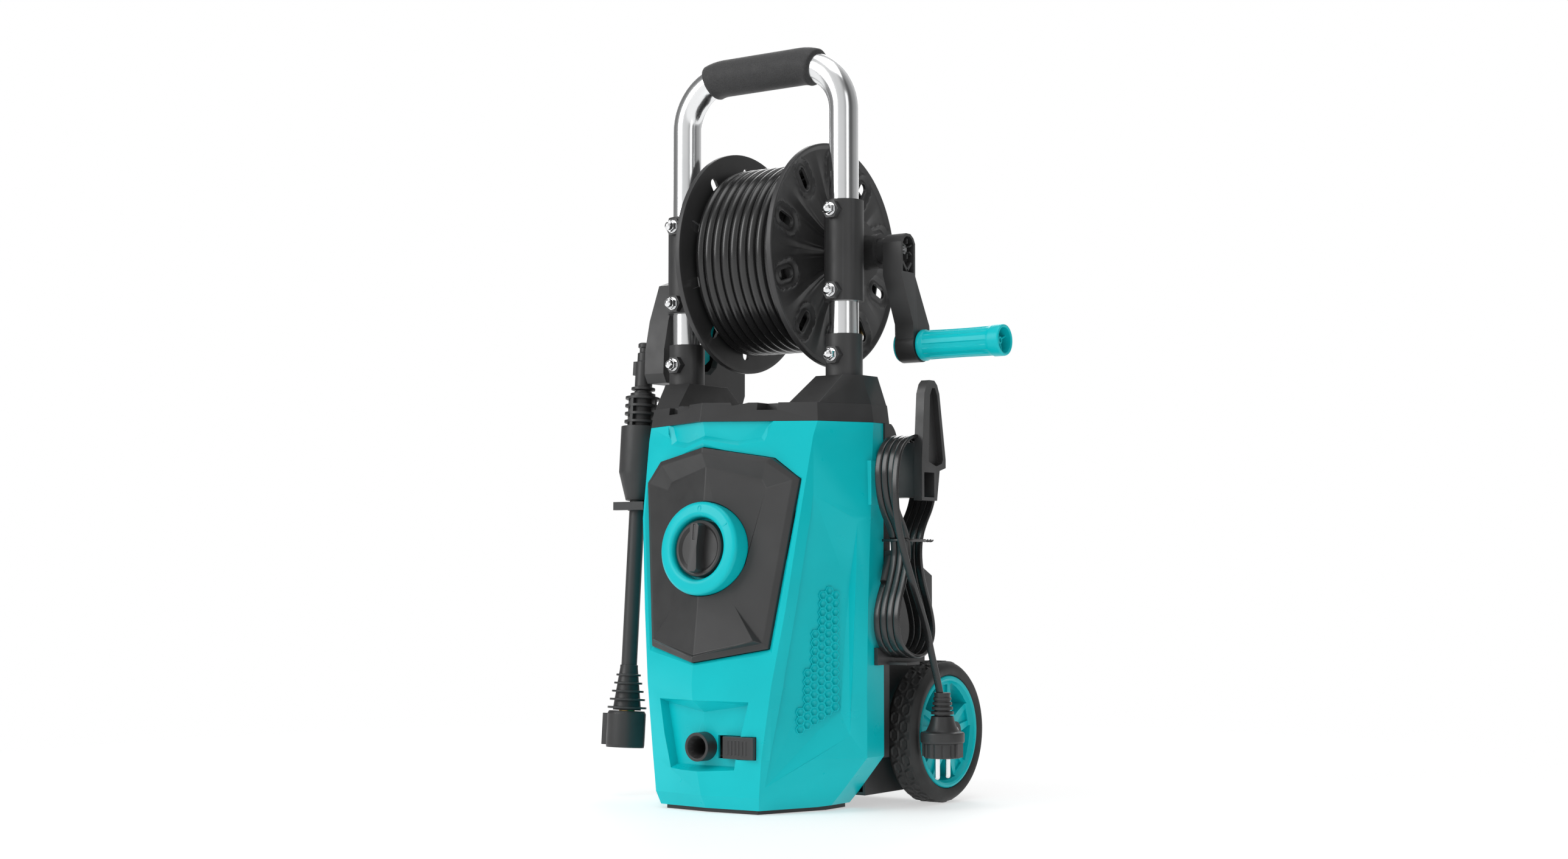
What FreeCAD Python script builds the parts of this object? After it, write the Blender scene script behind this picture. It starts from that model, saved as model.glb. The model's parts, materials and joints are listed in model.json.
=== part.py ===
import FreeCAD, Part
import math
import os
import re

import Sketcher
from FreeCAD import Placement, Rotation, Vector

# Upright electric pressure washer with a hose reel in its handle.
# Millimetres. X = 0 is the plane midway between the handle's tubes, Y = 0 is the plane
# through both tubes with the switch side at -Y, and Z = 0 is the floor.

doc = FreeCAD.newDocument("PressureWasher")

# ------------------------------------------------------------------ driving dimensions
SIZES = [
    ("wall", 3, "moulded wall of the casings"),
    ("seam_depth", 17, "plane where the front and rear shells meet"),
    ("shell_half_width", 125, "half the width of the body"),
    ("shell_bottom", 4, "lower edge of the front shell"),
    ("rear_bottom", 48, "lower edge of the rear shell"),
    ("shell_top", 358.5, "joint between the shells and the deck"),
    ("deck_lip", 376, "front lip of the deck"),
    ("shoulder_top", 403, "top of the deck's shoulders"),
    ("tube_outer", 28, "handle tube"),
    ("tube_wall", 1.5, "handle tube wall"),
    ("tube_half_spacing", 92.7, "half the distance between the handle's legs"),
    ("tube_foot", 352, "lower ends of the handle's legs"),
    ("handle_height", 704, "axis of the handle's top run"),
    ("handle_bend", 48, "bend radius of the handle"),
    ("grip_outer", 36, "foam grip"),
    ("grip_length", 124, "foam grip"),
    ("socket_outer", 35, "tube socket"),
    ("socket_top", 442.5, "tube socket"),
    ("bracket_outer", 37.5, "sleeve of a reel bracket"),
    ("bracket_bottom", 473.5, "sleeve of a reel bracket"),
    ("bracket_top", 569, "sleeve of a reel bracket"),
    ("bolt_low", 422, "height of the socket bolts"),
    ("bolt_middle", 482.3, "height of the lower bracket bolts"),
    ("bolt_high", 558.5, "height of the upper bracket bolts"),
    ("bolt_size", 6, "M6 bolts"),
    ("reel_depth", 40.9, "reel axis behind the tubes"),
    ("reel_height", 524.9, "reel axis above the floor"),
    ("reel_half_width", 56, "outer faces of the flanges"),
    ("flange_radius", 108.9, "reel flange"),
    ("flange_web", 3, "reel flange"),
    ("flange_slots", 10, "openings in a flange"),
    ("core_radius", 71.5, "drum that the hose is wound on"),
    ("hose_size", 10, "outside diameter of the hose"),
    ("shaft_radius", 12.25, "reel shaft and swivel spigot"),
    ("running_gap", 0.05, "radial clearance of a running fit"),
    ("crank_plane", 118, "inner face of the crank arm"),
    ("crank_thickness", 20.6, "crank arm"),
    ("crank_offset", 24.1, "knob axis behind the reel axis"),
    ("crank_drop", 89.8, "knob axis below the reel axis"),
    ("crank_ring", 16, "outer radius of the knob's bearing ring"),
    ("knob_radius", 15, "crank knob"),
    ("knob_length", 90, "crank knob"),
    ("dial_depth", 98.2, "centre of the switch dial in front of the tubes"),
    ("dial_height", 241.3, "centre of the switch dial"),
    ("dial_lean", 5.65, "the dial leans back by this angle"),
    ("dial_outer", 43.5, "radius of the dial's ring"),
    ("dial_inner", 28.5, "radius of the dial's opening"),
    ("switch_radius", 26.3, "switch knob"),
    ("port_height", 60.3, "water outlet"),
    ("port_outer", 13.2, "radius of the outlet's collar"),
    ("port_bore", 7.5, "radius of the outlet's bore"),
    ("inlet_height", 100, "water inlet"),
    ("inlet_radius", 8.8, "garden hose nipple"),
    ("axle_depth", 106.6, "axle behind the tubes"),
    ("tyre_radius", 67.4, "wheel radius, and so the axle height"),
    ("rim_radius", 53.3, "edge of the rim"),
    ("wheel_outer", 144, "outer face of the wheels"),
    ("wheel_width", 34, "tyre width"),
    ("wheel_spokes", 5, "spokes of a rim"),
    ("axle_radius", 5, "axle"),
    ("axle_half_length", 150, "axle"),
    ("motor_radius", 52, "motor case"),
    ("motor_depth", 10, "motor axis behind the tubes"),
    ("hank_inner_side", 129.5, "side of the cable hank nearest the body"),
    ("hank_width", 28, "four turns of a 7 mm flat cable side by side"),
    ("cable_thickness", 4.2, "flat twin cable"),
    ("cable_tube", 2.8, "radius of a round tube of the cable's section"),
    ("plug_side", 167, "plug axis beside the mid-plane"),
    ("plug_depth", 52, "plug axis behind the tubes"),
    ("pin_spacing", 19, "plug pins"),
    ("pin_radius", 2.4, "plug pins"),
    ("gun_plane", -128, "mid-plane of the spray gun"),
    ("gun_thickness", 24, "spray gun"),
    ("lance_side", -153, "lance axis beside the mid-plane"),
    ("lance_radius", 7.75, "lance tube"),
]
ALIASES = {alias for alias, number, note in SIZES}

sheet = doc.addObject("Spreadsheet::Sheet", "sizes")
for row, (alias, number, note) in enumerate(SIZES, start=1):
    sheet.set("A%d" % row, note)
    sheet.set("B%d" % row, str(number))
    sheet.setAlias("B%d" % row, alias)
doc.recompute()

nodes = []


def sheet_words(expression):
    """The expression with each sheet name written in full."""
    return re.sub(r"[a-z_]+", lambda m: "sizes." + m[0] if m[0] in ALIASES else m[0], expression)


def size(value):
    """A number, or the value of an expression over the sheet."""
    if isinstance(value, str):
        return float(sheet.evalExpression(sheet_words(value)))
    return float(value)


def bind(item, name, value):
    """Set a property, and keep it bound to the sheet when the value is an expression."""
    if isinstance(value, str):
        item.setExpression(name, sheet_words(value))
    elif not name.startswith("Placement."):
        setattr(item, name, value)


def place(item, at, rotation=Rotation()):
    item.Placement = Placement(Vector(*(size(value) for value in at)), rotation)
    for letter, value in zip("xyz", at):
        bind(item, "Placement.Base." + letter, value)
    return item


def towards(direction):
    """The turn that carries Z to a direction, and leaves X alone where it can."""
    if direction == "+Z":
        return Rotation()
    if direction == "-Z":
        return Rotation(Vector(1, 0, 0), 180)
    if direction == "+X":
        return Rotation(Vector(0, 1, 0), 90)
    if direction == "-X":
        return Rotation(Vector(0, 1, 0), -90)
    if direction == "+Y":
        return Rotation(Vector(1, 0, 0), -90)
    if direction == "-Y":
        return Rotation(Vector(1, 0, 0), 90)
    return Rotation(Vector(0, 0, 1), Vector(*direction))


def cylinder(radius, height, at, direction="+Z"):
    item = doc.addObject("Part::Cylinder", "Cylinder")
    bind(item, "Radius", radius)
    bind(item, "Height", height)
    return place(item, at, towards(direction))


def cone(radius_1, radius_2, height, at, direction="+Z"):
    item = doc.addObject("Part::Cone", "Cone")
    bind(item, "Radius1", radius_1)
    bind(item, "Radius2", radius_2)
    bind(item, "Height", height)
    return place(item, at, towards(direction))


def box(low, high, at=(0, 0, 0), rotation=Rotation()):
    """A box between two corners, carried to a place with its own origin."""
    item = doc.addObject("Part::Box", "Box")
    for name, a, b in zip(("Length", "Width", "Height"), low, high):
        if isinstance(a, str) or isinstance(b, str):
            bind(item, name, "(%s) - (%s)" % (b, a))
        else:
            bind(item, name, b - a)
    corner = rotation.multVec(Vector(*(size(value) for value in low)))
    if rotation.isIdentity() and at == (0, 0, 0):
        return place(item, low)
    item.Placement = Placement(Vector(*(size(value) for value in at)) + corner, rotation)
    return item


def prism(direction, across, count, height, at):
    """A regular prism, given its width across flats."""
    item = doc.addObject("Part::Prism", "Prism")
    item.Polygon = count
    bind(item, "Circumradius", across / 2 / math.cos(math.pi / count))
    bind(item, "Height", height)
    return place(item, at, towards(direction))


def ball(radius, at):
    item = doc.addObject("Part::Sphere", "Sphere")
    bind(item, "Radius", radius)
    return place(item, at)


def fuse(*items):
    if len(items) == 1:
        return items[0]
    item = doc.addObject("Part::MultiFuse", "Fuse")
    item.Shapes = list(items)
    return item


def cut(base, *tools):
    item = doc.addObject("Part::Cut", "Cut")
    item.Base = base
    item.Tool = fuse(*tools)
    return item


def group(*items):
    """Separate solids that share one node."""
    item = doc.addObject("Part::Compound", "Group")
    item.Links = list(items)
    return item


def node(label, item):
    item.Label = label
    nodes.append(item)
    return item


def feature(shape):
    item = doc.addObject("Part::Feature", "Feature")
    item.Shape = shape
    return item


def body_at(at=(0, 0, 0), rotation=Rotation()):
    return place(doc.addObject("PartDesign::Body", "Body"), at, rotation)


def sketch_on(body, role):
    sketch = body.newObject("Sketcher::SketchObject", "Sketch")
    plane = next(item for item in body.Origin.OriginFeatures if item.Role == role)
    sketch.AttachmentSupport = [(plane, "")]
    sketch.MapMode = "FlatFace"
    return sketch


def outline(sketch, points):
    """A closed outline, with every corner held by two dimensions."""
    first = len(sketch.Geometry)
    count = len(points)
    corners = [Vector(size(x), size(y), 0) for x, y in points]
    for index, corner in enumerate(corners):
        sketch.addGeometry(Part.LineSegment(corner, corners[(index + 1) % count]), False)
    for index, point in enumerate(points):
        after = first + (index + 1) % count
        sketch.addConstraint(Sketcher.Constraint("Coincident", first + index, 2, after, 1))
        for kind, value in zip(("DistanceX", "DistanceY"), point):
            rule = Sketcher.Constraint(kind, -1, 1, first + index, 1, size(value))
            number = sketch.addConstraint(rule)
            if isinstance(value, str):
                sketch.setExpression("Constraints[%d]" % number, sheet_words(value))
    return sketch


def hole(sketch, x, y, radius):
    """A circle, with its centre and radius held by dimensions."""
    index = sketch.addGeometry(Part.Circle(Vector(size(x), size(y), 0), Vector(0, 0, 1), size(radius)), False)
    for kind, value in (("DistanceX", x), ("DistanceY", y)):
        number = sketch.addConstraint(Sketcher.Constraint(kind, -1, 1, index, 3, size(value)))
        if isinstance(value, str):
            sketch.setExpression("Constraints[%d]" % number, sheet_words(value))
    number = sketch.addConstraint(Sketcher.Constraint("Radius", index, size(radius)))
    if isinstance(radius, str):
        sketch.setExpression("Constraints[%d]" % number, sheet_words(radius))
    return sketch


def turned(points, at, direction="+Z"):
    """A body turned about its own Z axis from an outline of (radius, height)."""
    body = body_at(at, towards(direction))
    sketch = outline(sketch_on(body, "XZ_Plane"), points)
    turn = body.newObject("PartDesign::Revolution", "Revolution")
    turn.Profile = sketch
    turn.ReferenceAxis = (sketch, ["V_Axis"])
    turn.Angle = 360
    return body


def plate(points, thickness, at, rotation=Rotation(), holes=()):
    """A flat body padded up its own Z axis from an outline with round holes."""
    body = body_at(at, rotation)
    sketch = outline(sketch_on(body, "XY_Plane"), points)
    for circle in holes:
        hole(sketch, *circle)
    pad = body.newObject("PartDesign::Pad", "Pad")
    pad.Profile = sketch
    bind(pad, "Length", thickness)
    return body


# A plate drawn as (depth, height) and padded along X.
SIDEWAYS = Rotation(Vector(1, 1, 1), 120)


def faceted(rings):
    """A solid between stacked rings of the same number of corners, with triangular sides."""
    faces = []
    for lower, upper in zip(rings, rings[1:]):
        for index in range(len(lower)):
            after = (index + 1) % len(lower)
            a, b, c, d = lower[index], lower[after], upper[after], upper[index]
            for corners in ((a, b, c), (a, c, d)):
                if (corners[1] - corners[0]).cross(corners[2] - corners[0]).Length > 1e-6:
                    faces.append(Part.Face(Part.makePolygon(list(corners) + [corners[0]])))
    for ring in (rings[0], rings[-1]):
        faces.append(Part.Face(Part.makePolygon(ring + [ring[0]])))
    shell = Part.makeShell(faces)
    shell.sewShape()
    solid = Part.makeSolid(shell)
    if solid.Volume < 0:
        solid.reverse()
    return solid


def mirrored_ring(height, right_side):
    """A level ring from its right half, listed from the front to the back."""
    right = [Vector(x, y, height) for x, y in right_side]
    left = [Vector(-x, y, height) for x, y in reversed(right_side) if x > 0]
    return right + left


def rounded_route(points):
    """Straight runs joined by tangent arcs, as large as the runs allow."""
    edges = []
    radii = []
    start = points[0]
    for before, corner, after in zip(points, points[1:], points[2:]):
        inward, outward = corner - before, after - corner
        half_turn = inward.getAngle(outward) / 2
        trim = 0.45 * min(inward.Length, outward.Length)
        radii.append(trim / math.tan(half_turn))
        first = corner - inward.normalize() * trim
        last = corner + outward.normalize() * trim
        bisector = (first + last) / 2 - corner
        reach = trim * math.tan(half_turn)
        depth = radii[-1] / math.cos(half_turn) - radii[-1]
        middle = corner + bisector.normalize() * depth if reach > 0 else corner
        edges.append(Part.LineSegment(start, first).toShape())
        edges.append(Part.Arc(first, middle, last).toShape())
        start = last
    edges.append(Part.LineSegment(start, points[-1]).toShape())
    return Part.Wire(edges), radii


def tube_along(points, radius):
    """A round cord along a rounded route, with its volume compared."""
    wire, radii = rounded_route(points)
    start = points[0]
    section = Part.Wire(Part.Circle(start, points[1] - start, radius).toShape())
    solid = wire.makePipeShell([section], True, False)
    expected = math.pi * radius ** 2 * wire.Length
    print("cord length %.1f, radii %s" % (wire.Length, [round(value, 1) for value in radii]))
    if abs(solid.Volume / expected - 1) > 0.02:
        raise RuntimeError("a cord's volume is wrong")
    return solid


LEFT, RIGHT = -1, 1
WALL = size("wall")

# ------------------------------------------------------------------ casings
# Front shell, right half of each level: height, ridge, crease and side corner.
FRONT_LEVELS = [
    (size("shell_bottom"), -91, (56, -86), (86, -14)),
    (16, -98.7, (59, -90), (97, -14)),
    (50, -108, (62, -91), (125, -12)),
    (117, -113, (71, -88), (125, -12)),
    (185, -107, (81, -80), (125, -10)),
    (271, -101, (91, -71), (125, -5)),
    (345, -96.5, (95.5, -56), (125, -1)),
    (size("shell_top"), -102, (97, -51), (125, 0)),
]
# Rear shell: height, side edge, flank corner and back corner.
REAR_LEVELS = [
    (size("rear_bottom"), 123.5, (104, 38), (104, 125)),
    (138, 125, (104, 38), (104, 125)),
    (148, 125, (100, 40), (100, 146)),
    (216, 125, (100, 40), (100, 146)),
    (228, 125, (98, 50), (92, 134)),
    (240, 125, (97, 60), (72, 112)),
    (size("shell_top"), 125, (97, 60), (72, 110)),
]


def front_ring(level, inset, extra=0):
    height, ridge, crease, side = level
    seam = size("seam_depth") + (5 if inset else 0)
    right = [
        (0, ridge + inset),
        (crease[0] - inset, crease[1] + inset),
        (side[0] - inset, side[1]),
        (side[0] - inset, seam),
    ]
    return mirrored_ring(height + extra, right)


def rear_ring(level, inset, extra=0):
    height, edge, flank, back = level
    seam = size("seam_depth") + (-5 if inset else 0.3)
    right = [
        (edge - inset, seam),
        (edge - inset, seam + 11),
        (flank[0] - inset, flank[1] - inset / 2),
        (back[0] - inset, back[1] - inset),
    ]
    return mirrored_ring(height + extra, right)


def hollow_shell(levels, ring):
    """An open-ended shell between stacked levels."""
    outer = faceted([ring(level, 0) for level in levels])
    inner = [ring(level, WALL) for level in levels]
    inner[0] = ring(levels[0], WALL, -5)
    inner[-1] = ring(levels[-1], WALL, 5)
    return outer.cut(faceted(inner))


# Front panel: its outline, then the outline of its recessed face, from the top ridge point
# down the right side to the bottom ridge point.
PANEL_RIM = [
    (0, -98.4, 334.8), (63.5, -79.3, 324.1), (87.9, -67.8, 304.8), (66.6, -87.4, 150.3), (0, -113.7, 137.3),
]
PANEL_FACE = [(0, -92.3, 317.3), (50, -76, 305), (57, -73, 296), (36.8, -95.2, 186.1), (0, -105.4, 185)]
PANEL_THICKNESS = 7
PANEL_GAP = 0.3


def panel_opening():
    """The hole in the front shell that the panel stands in, with a small gap all round."""
    right = [Vector(x + (PANEL_GAP if x else 0), -140, z) for x, y, z in PANEL_RIM]
    right[0].z += PANEL_GAP
    right[-1].z -= PANEL_GAP
    corners = right + [Vector(-point.x, point.y, point.z) for point in reversed(right[1:-1])]
    return Part.Face(Part.makePolygon(corners + corners[:1])).extrude(Vector(0, 100, 0))


def panel_solid():
    """The panel as a bent plate with a recessed face."""

    def ring(points, depth):
        right = [Vector(x, y + depth, z) for x, y, z in points]
        left = [Vector(-point.x, point.y, point.z) for point in reversed(right[1:-1])]
        return right + left

    def fan(points):
        """Two faces' worth of triangles, one each side of the ridge."""
        top, bottom = points[0], points[4]
        halves = [points[:5], [top] + points[:4:-1] + [bottom]]
        return [[half[0], half[i], half[i + 1]] for half in halves for i in range(1, 4)]

    rims = [ring(PANEL_RIM, PANEL_THICKNESS), ring(PANEL_RIM, 0), ring(PANEL_FACE, 0)]
    triangles = fan(rims[0]) + fan(rims[-1])
    for lower, upper in zip(rims, rims[1:]):
        for index in range(len(lower)):
            after = (index + 1) % len(lower)
            triangles.append([lower[index], lower[after], upper[after]])
            triangles.append([lower[index], upper[after], upper[index]])
    shell = Part.makeShell([Part.Face(Part.makePolygon(t + [t[0]])) for t in triangles])
    shell.sewShape()
    solid = Part.makeSolid(shell)
    if solid.Volume < 0:
        solid.reverse()
    return solid


DIAL_TURN = Rotation(Vector(1, 0, 0), 90 - size("dial_lean"))
DIAL_AT = (0, "-dial_depth", "dial_height")


def on_dial(low, high):
    """Place of a point at a height above the dial's face."""
    axis = DIAL_TURN.multVec(Vector(0, 0, 1))
    base = Vector(*(size(value) for value in DIAL_AT))
    return base + axis * low


def dial_cylinder(radius, low, high):
    item = doc.addObject("Part::Cylinder", "Cylinder")
    bind(item, "Radius", radius)
    item.Height = high - low
    item.Placement = Placement(on_dial(low, high), DIAL_TURN)
    return item


# Recess round the outlet, cut back to a flat wall: right half of its mouth and of its floor.
RECESS_MOUTH = [(-135, [(56, 113), (39, 34)]), (-94, [(43, 96), (35, 40)])]


def recess_tool():
    rings = []
    for depth, corners in RECESS_MOUTH:
        right = [Vector(x, depth, z) for x, z in corners]
        rings.append(right + [Vector(-point.x, point.y, point.z) for point in reversed(right)])
    return faceted(rings)


front_skin = hollow_shell(FRONT_LEVELS, front_ring)
front_block = faceted([front_ring(level, 0) for level in FRONT_LEVELS])
recess_pan = front_block.common(Part.makeBox(122, 30, 84, Vector(-61, -120, 31)))
recess_pan = recess_pan.cut(Part.makeBox(140, 60, 100, Vector(-70, -90.5, 20)))
side_pad = Part.makeBox(9.5, 23, 41, Vector(117.5, -7, 282))
front_skin = front_skin.fuse([recess_pan, side_pad]).cut(recess_tool())
front_skin = front_skin.cut(panel_opening())

LATCH_LOW, LATCH_HIGH = (23, -97, 50.5), (57, -86, 70.5)
LATCH_TRAVEL = 8
latch_slot = box((LATCH_LOW[0] - LATCH_TRAVEL - 0.5, -100, 50), (LATCH_HIGH[0] + 0.5, -84, 71))
node("front_shell", cut(
    feature(front_skin),
    cylinder("port_outer + 0.1", 60, (0, -140, "port_height"), "+Y"),
    latch_slot,
))

rear_skin = hollow_shell(REAR_LEVELS, rear_ring)
HOOK_BOSS = (18, 340)
HOOK_SCREW = (36.8, 324)
hook_boss = Part.makeCylinder(21, 24, Vector(103, *HOOK_BOSS), Vector(1, 0, 0))
hook_boss = hook_boss.common(Part.makeBox(60, 60, 60, Vector(90, size("seam_depth") + 0.3, 298.5)))
node("rear_shell", cut(
    feature(rear_skin.fuse(hook_boss)),
    cylinder("axle_radius + running_gap", 300, (-150, "axle_depth", "tyre_radius"), "+X"),
    cylinder(10.2, 60, (0, 100, "inlet_height"), "+Y"),
    *[cylinder(2.05, 30, (x, 90 if z > 240 else 125, z), "+Y")
      for x in (-50, 50) for z in (165, 205, 262, 340)],
    cylinder(2.05, 40, (100, *HOOK_SCREW), "+X"),
))

# Bottom tray: a pan under the front, a pan between the wheels and two ears for the axle.
TRAY_FRONT = [(0, -86.5), (52, -82), (80, -13), (80, 20), (-80, 20), (-80, -13), (-52, -82)]
TRAY_FRONT_INNER = [(0, -83.2), (50, -79), (77, -12), (77, 21), (-77, 21), (-77, -12), (-50, -79)]
tray_front = plate(TRAY_FRONT, 30, (0, 0, 0))
tray_front_hollow = plate(TRAY_FRONT_INNER, 30, (0, 0, "wall"))
tray_rear = box((-104, "seam_depth + 0.3", 12), (104, 125, 47.8))
tray_rear_hollow = box((-101, 10, "12 + wall"), (101, 122, 60))
tray_ears = [box((x - 6.5, 96, 14), (x + 6.5, 117, 80)) for x in (-94, 94)]
node("base_tray", cut(
    fuse(cut(fuse(tray_front, tray_rear), tray_front_hollow, tray_rear_hollow), *tray_ears),
    cylinder("axle_radius + running_gap", 300, (-150, "axle_depth", "tyre_radius"), "+X"),
))

# Deck: a lid over both shells, raised to a shoulder round each socket and dished between.
DECK_LOW = [(0, -102), (97, -51), (125, 0), (125, 28), (97, 60), (72, 110)]
DECK_HIGH = [(0, -98.5), (95, -49), (122.5, 0), (122.5, 28), (95, 60), (70, 108)]
DECK_HOLLOW = [(0, -95), (93, -46), (119, 2), (119, 26), (92, 57), (68, 105)]
SHOULDER_LOW = [(64, -54), (95, -49), (122.5, 0), (122.5, 28), (95, 60), (64, 66)]
SHOULDER_HIGH = [(74, -20), (104, -20), (116, -6), (117, 20), (100, 40), (74, 42)]


def level_ring(points, height, side=RIGHT):
    ring = [Vector(side * x, y, height) for x, y in points]
    return ring if side == RIGHT else ring[::-1]


lid_low, lid_high = size("shell_top") + 0.2, size("deck_lip")
deck_lid = faceted([mirrored_ring(lid_low, DECK_LOW), mirrored_ring(lid_high, DECK_HIGH)])
deck_hollow = faceted([mirrored_ring(lid_low - 5, DECK_HOLLOW), mirrored_ring(lid_high - 8, DECK_HOLLOW)])
deck_dish = Part.makeCylinder(150, 230, Vector(0, -86, lid_high - 5 + 150), Vector(0, 1, 0))
deck_shape = deck_lid.cut([deck_dish, deck_hollow])
for side in (LEFT, RIGHT):
    low_ring = level_ring(SHOULDER_LOW, lid_high - 2, side)
    high_ring = level_ring(SHOULDER_HIGH, size("shoulder_top"), side)
    deck_shape = deck_shape.fuse(faceted([low_ring, high_ring]))
    notch = Part.makeBox(17, 30, 20, Vector(46 if side == RIGHT else -63, -88, lid_high - 7))
    deck_shape = deck_shape.cut(notch)
node("top_deck", cut(
    feature(deck_shape),
    *[cylinder("socket_outer / 2 + 0.05", 80, (x, 0, 345), "+Z")
      for x in ("-tube_half_spacing", "tube_half_spacing")],
))

node("front_panel", cut(
    feature(panel_solid()),
    dial_cylinder("dial_outer + 0.2", -40, 20),
))

# ------------------------------------------------------------------ switch
node("dial_ring", cut(
    fuse(cut(dial_cylinder("dial_outer", -18, 8), dial_cylinder("dial_inner", -30, 30)),
         dial_cylinder("dial_inner + 1", -9, -6)),
    dial_cylinder(5.1, -30, 30),
))
switch_bar = box((-6, -23.5, 6), (6, 23.5, 14), (0, "-dial_depth", "dial_height"), DIAL_TURN)
switch_mark = box((-1.2, 6, 14), (1.2, 23, 14.8), (0, "-dial_depth", "dial_height"), DIAL_TURN)
node("switch_knob", fuse(
    dial_cylinder("switch_radius", -5, 6), switch_bar, switch_mark, dial_cylinder(5.05, -18, -5),
))
node("switch_box", box((-16, -32, -44), (16, 22, -18.3), (0, "-dial_depth", "dial_height"), DIAL_TURN))

# ------------------------------------------------------------------ water outlet and inlet
node("outlet_port", cut(
    fuse(cylinder("port_outer", 18, (0, -106, "port_height"), "+Y"),
         cylinder(11, 55, (0, -90, "port_height"), "+Y")),
    cylinder("port_bore", 30, (0, -107, "port_height"), "+Y"),
    cone(10.5, "port_bore", 6, (0, -106, "port_height"), "+Y"),
    cylinder(3, 80, (0, -100, "port_height"), "+Y"),
))
latch_ribs = [box((x, -98, 54), (x + 1.6, -96.9, 67)) for x in (28, 32, 36, 40, 44, 48)]
node("outlet_latch", fuse(box(LATCH_LOW, LATCH_HIGH), *latch_ribs))
node("inlet_connector", cut(
    fuse(cylinder(10, 72, (0, 55.2, "inlet_height"), "+Y"),
         cylinder(15, 4, (0, 125.1, "inlet_height"), "+Y"),
         cylinder("inlet_radius", 26, (0, 129, "inlet_height"), "+Y"),
         cylinder("inlet_radius + 2", 4, (0, 129, "inlet_height"), "+Y")),
    cylinder(6, 110, (0, 50, "inlet_height"), "+Y"),
))

# ------------------------------------------------------------------ wheels
tyre_profile = [
    ("rim_radius", 3), (60, 0.5), (64, 2.5), (66.6, 6.5), ("tyre_radius", 11),
    ("tyre_radius", "wheel_width - 11"), (66.6, "wheel_width - 6.5"), (64, "wheel_width - 2.5"),
    (60, "wheel_width - 0.5"), ("rim_radius", "wheel_width - 3"),
]
rim_profile = [
    ("axle_radius + running_gap", 1), (13, 1), (13, 8), ("rim_radius - 5", 8), ("rim_radius - 5", 3),
    ("rim_radius - 0.1", 3), ("rim_radius - 0.1", "wheel_width - 3"), ("rim_radius - 5", "wheel_width - 1"),
    ("rim_radius - 8", "wheel_width - 9"), (22, "wheel_width - 5"), (13, "wheel_width - 2"),
    ("axle_radius + running_gap", "wheel_width - 2"),
]


def wheel_parts(side, name):
    at = ("%d * (wheel_outer - wheel_width)" % side, "axle_depth", "tyre_radius")
    direction = "+X" if side == RIGHT else "-X"
    node("tyre_" + name, turned(tyre_profile, at, direction))
    rim = turned(rim_profile, at, direction)
    window = rim.newObject("Sketcher::SketchObject", "Window")
    window.AttachmentSupport = [(next(p for p in rim.Origin.OriginFeatures if p.Role == "XY_Plane"), "")]
    window.MapMode = "FlatFace"
    outline(window, [(24, -4), (43, -11), (43, 11), (24, 4)])
    pocket = rim.newObject("PartDesign::Pocket", "Pocket")
    pocket.Profile = window
    pocket.Type = "Length"
    pocket.Length = 60
    pocket.Midplane = True
    pattern = rim.newObject("PartDesign::PolarPattern", "Pattern")
    pattern.Originals = [pocket]
    pattern.Axis = (window, ["N_Axis"])
    pattern.Angle = 360
    bind(pattern, "Occurrences", "wheel_spokes")
    rim.Tip = pattern
    node("rim_" + name, rim)


wheel_parts(LEFT, "left")
wheel_parts(RIGHT, "right")
axle_start = ("-axle_half_length", "axle_depth", "tyre_radius")
node("axle", cylinder("axle_radius", "2 * axle_half_length", axle_start, "+X"))
node("axle_caps", group(*[
    cut(cylinder(10, 5, (x, "axle_depth", "tyre_radius"), direction),
        cylinder("axle_radius", 8, (x, "axle_depth", "tyre_radius"), direction))
    for x, direction in (("wheel_outer + 0.6", "+X"), ("-(wheel_outer + 0.6)", "-X"))
]))

# ------------------------------------------------------------------ handle
BOLT_HEIGHTS = ("bolt_low", "bolt_middle", "bolt_high")
LEGS = ("-tube_half_spacing", "tube_half_spacing")


def bolt_holes():
    return [cylinder("bolt_size / 2 + 0.1", 70, (x, -35, z), "+Y") for x in LEGS for z in BOLT_HEIGHTS]


def handle_path():
    """The handle's centre line as a wire: up one leg, over the top and down the other."""
    side, foot = size("tube_half_spacing"), size("tube_foot")
    top, bend = size("handle_height"), size("handle_bend")
    edges = []
    corner = bend * (1 - math.cos(math.pi / 4))
    edges.append(Part.LineSegment(Vector(-side, 0, foot), Vector(-side, 0, top - bend)).toShape())
    edges.append(Part.Arc(
        Vector(-side, 0, top - bend), Vector(-side + corner, 0, top - corner), Vector(-side + bend, 0, top)
    ).toShape())
    edges.append(Part.LineSegment(Vector(-side + bend, 0, top), Vector(side - bend, 0, top)).toShape())
    edges.append(Part.Arc(
        Vector(side - bend, 0, top), Vector(side - corner, 0, top - corner), Vector(side, 0, top - bend)
    ).toShape())
    edges.append(Part.LineSegment(Vector(side, 0, top - bend), Vector(side, 0, foot)).toShape())
    return Part.Wire(edges)


def handle_sweep(radius):
    start = Vector(-size("tube_half_spacing"), 0, size("tube_foot"))
    ring = Part.Wire(Part.Circle(start, Vector(0, 0, 1), radius).toShape())
    return handle_path().makePipeShell([ring], True, False)


tube_radius = size("tube_outer / 2")
tube_shape = handle_sweep(tube_radius).cut(handle_sweep(tube_radius - size("tube_wall")))
node("handle_tube", cut(feature(tube_shape), *bolt_holes()))
grip_span = Part.makeBox(size("grip_length"), 60, 100, Vector(-size("grip_length / 2"), -30, 650))
grip_shape = handle_sweep(size("grip_outer / 2")).common(grip_span).cut(handle_sweep(tube_radius + 0.02))
node("handle_grip", feature(grip_shape))

SOCKET_BOSS = (-22.5, -15)
BRACKET_BOSS = (-24, -16)


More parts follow.
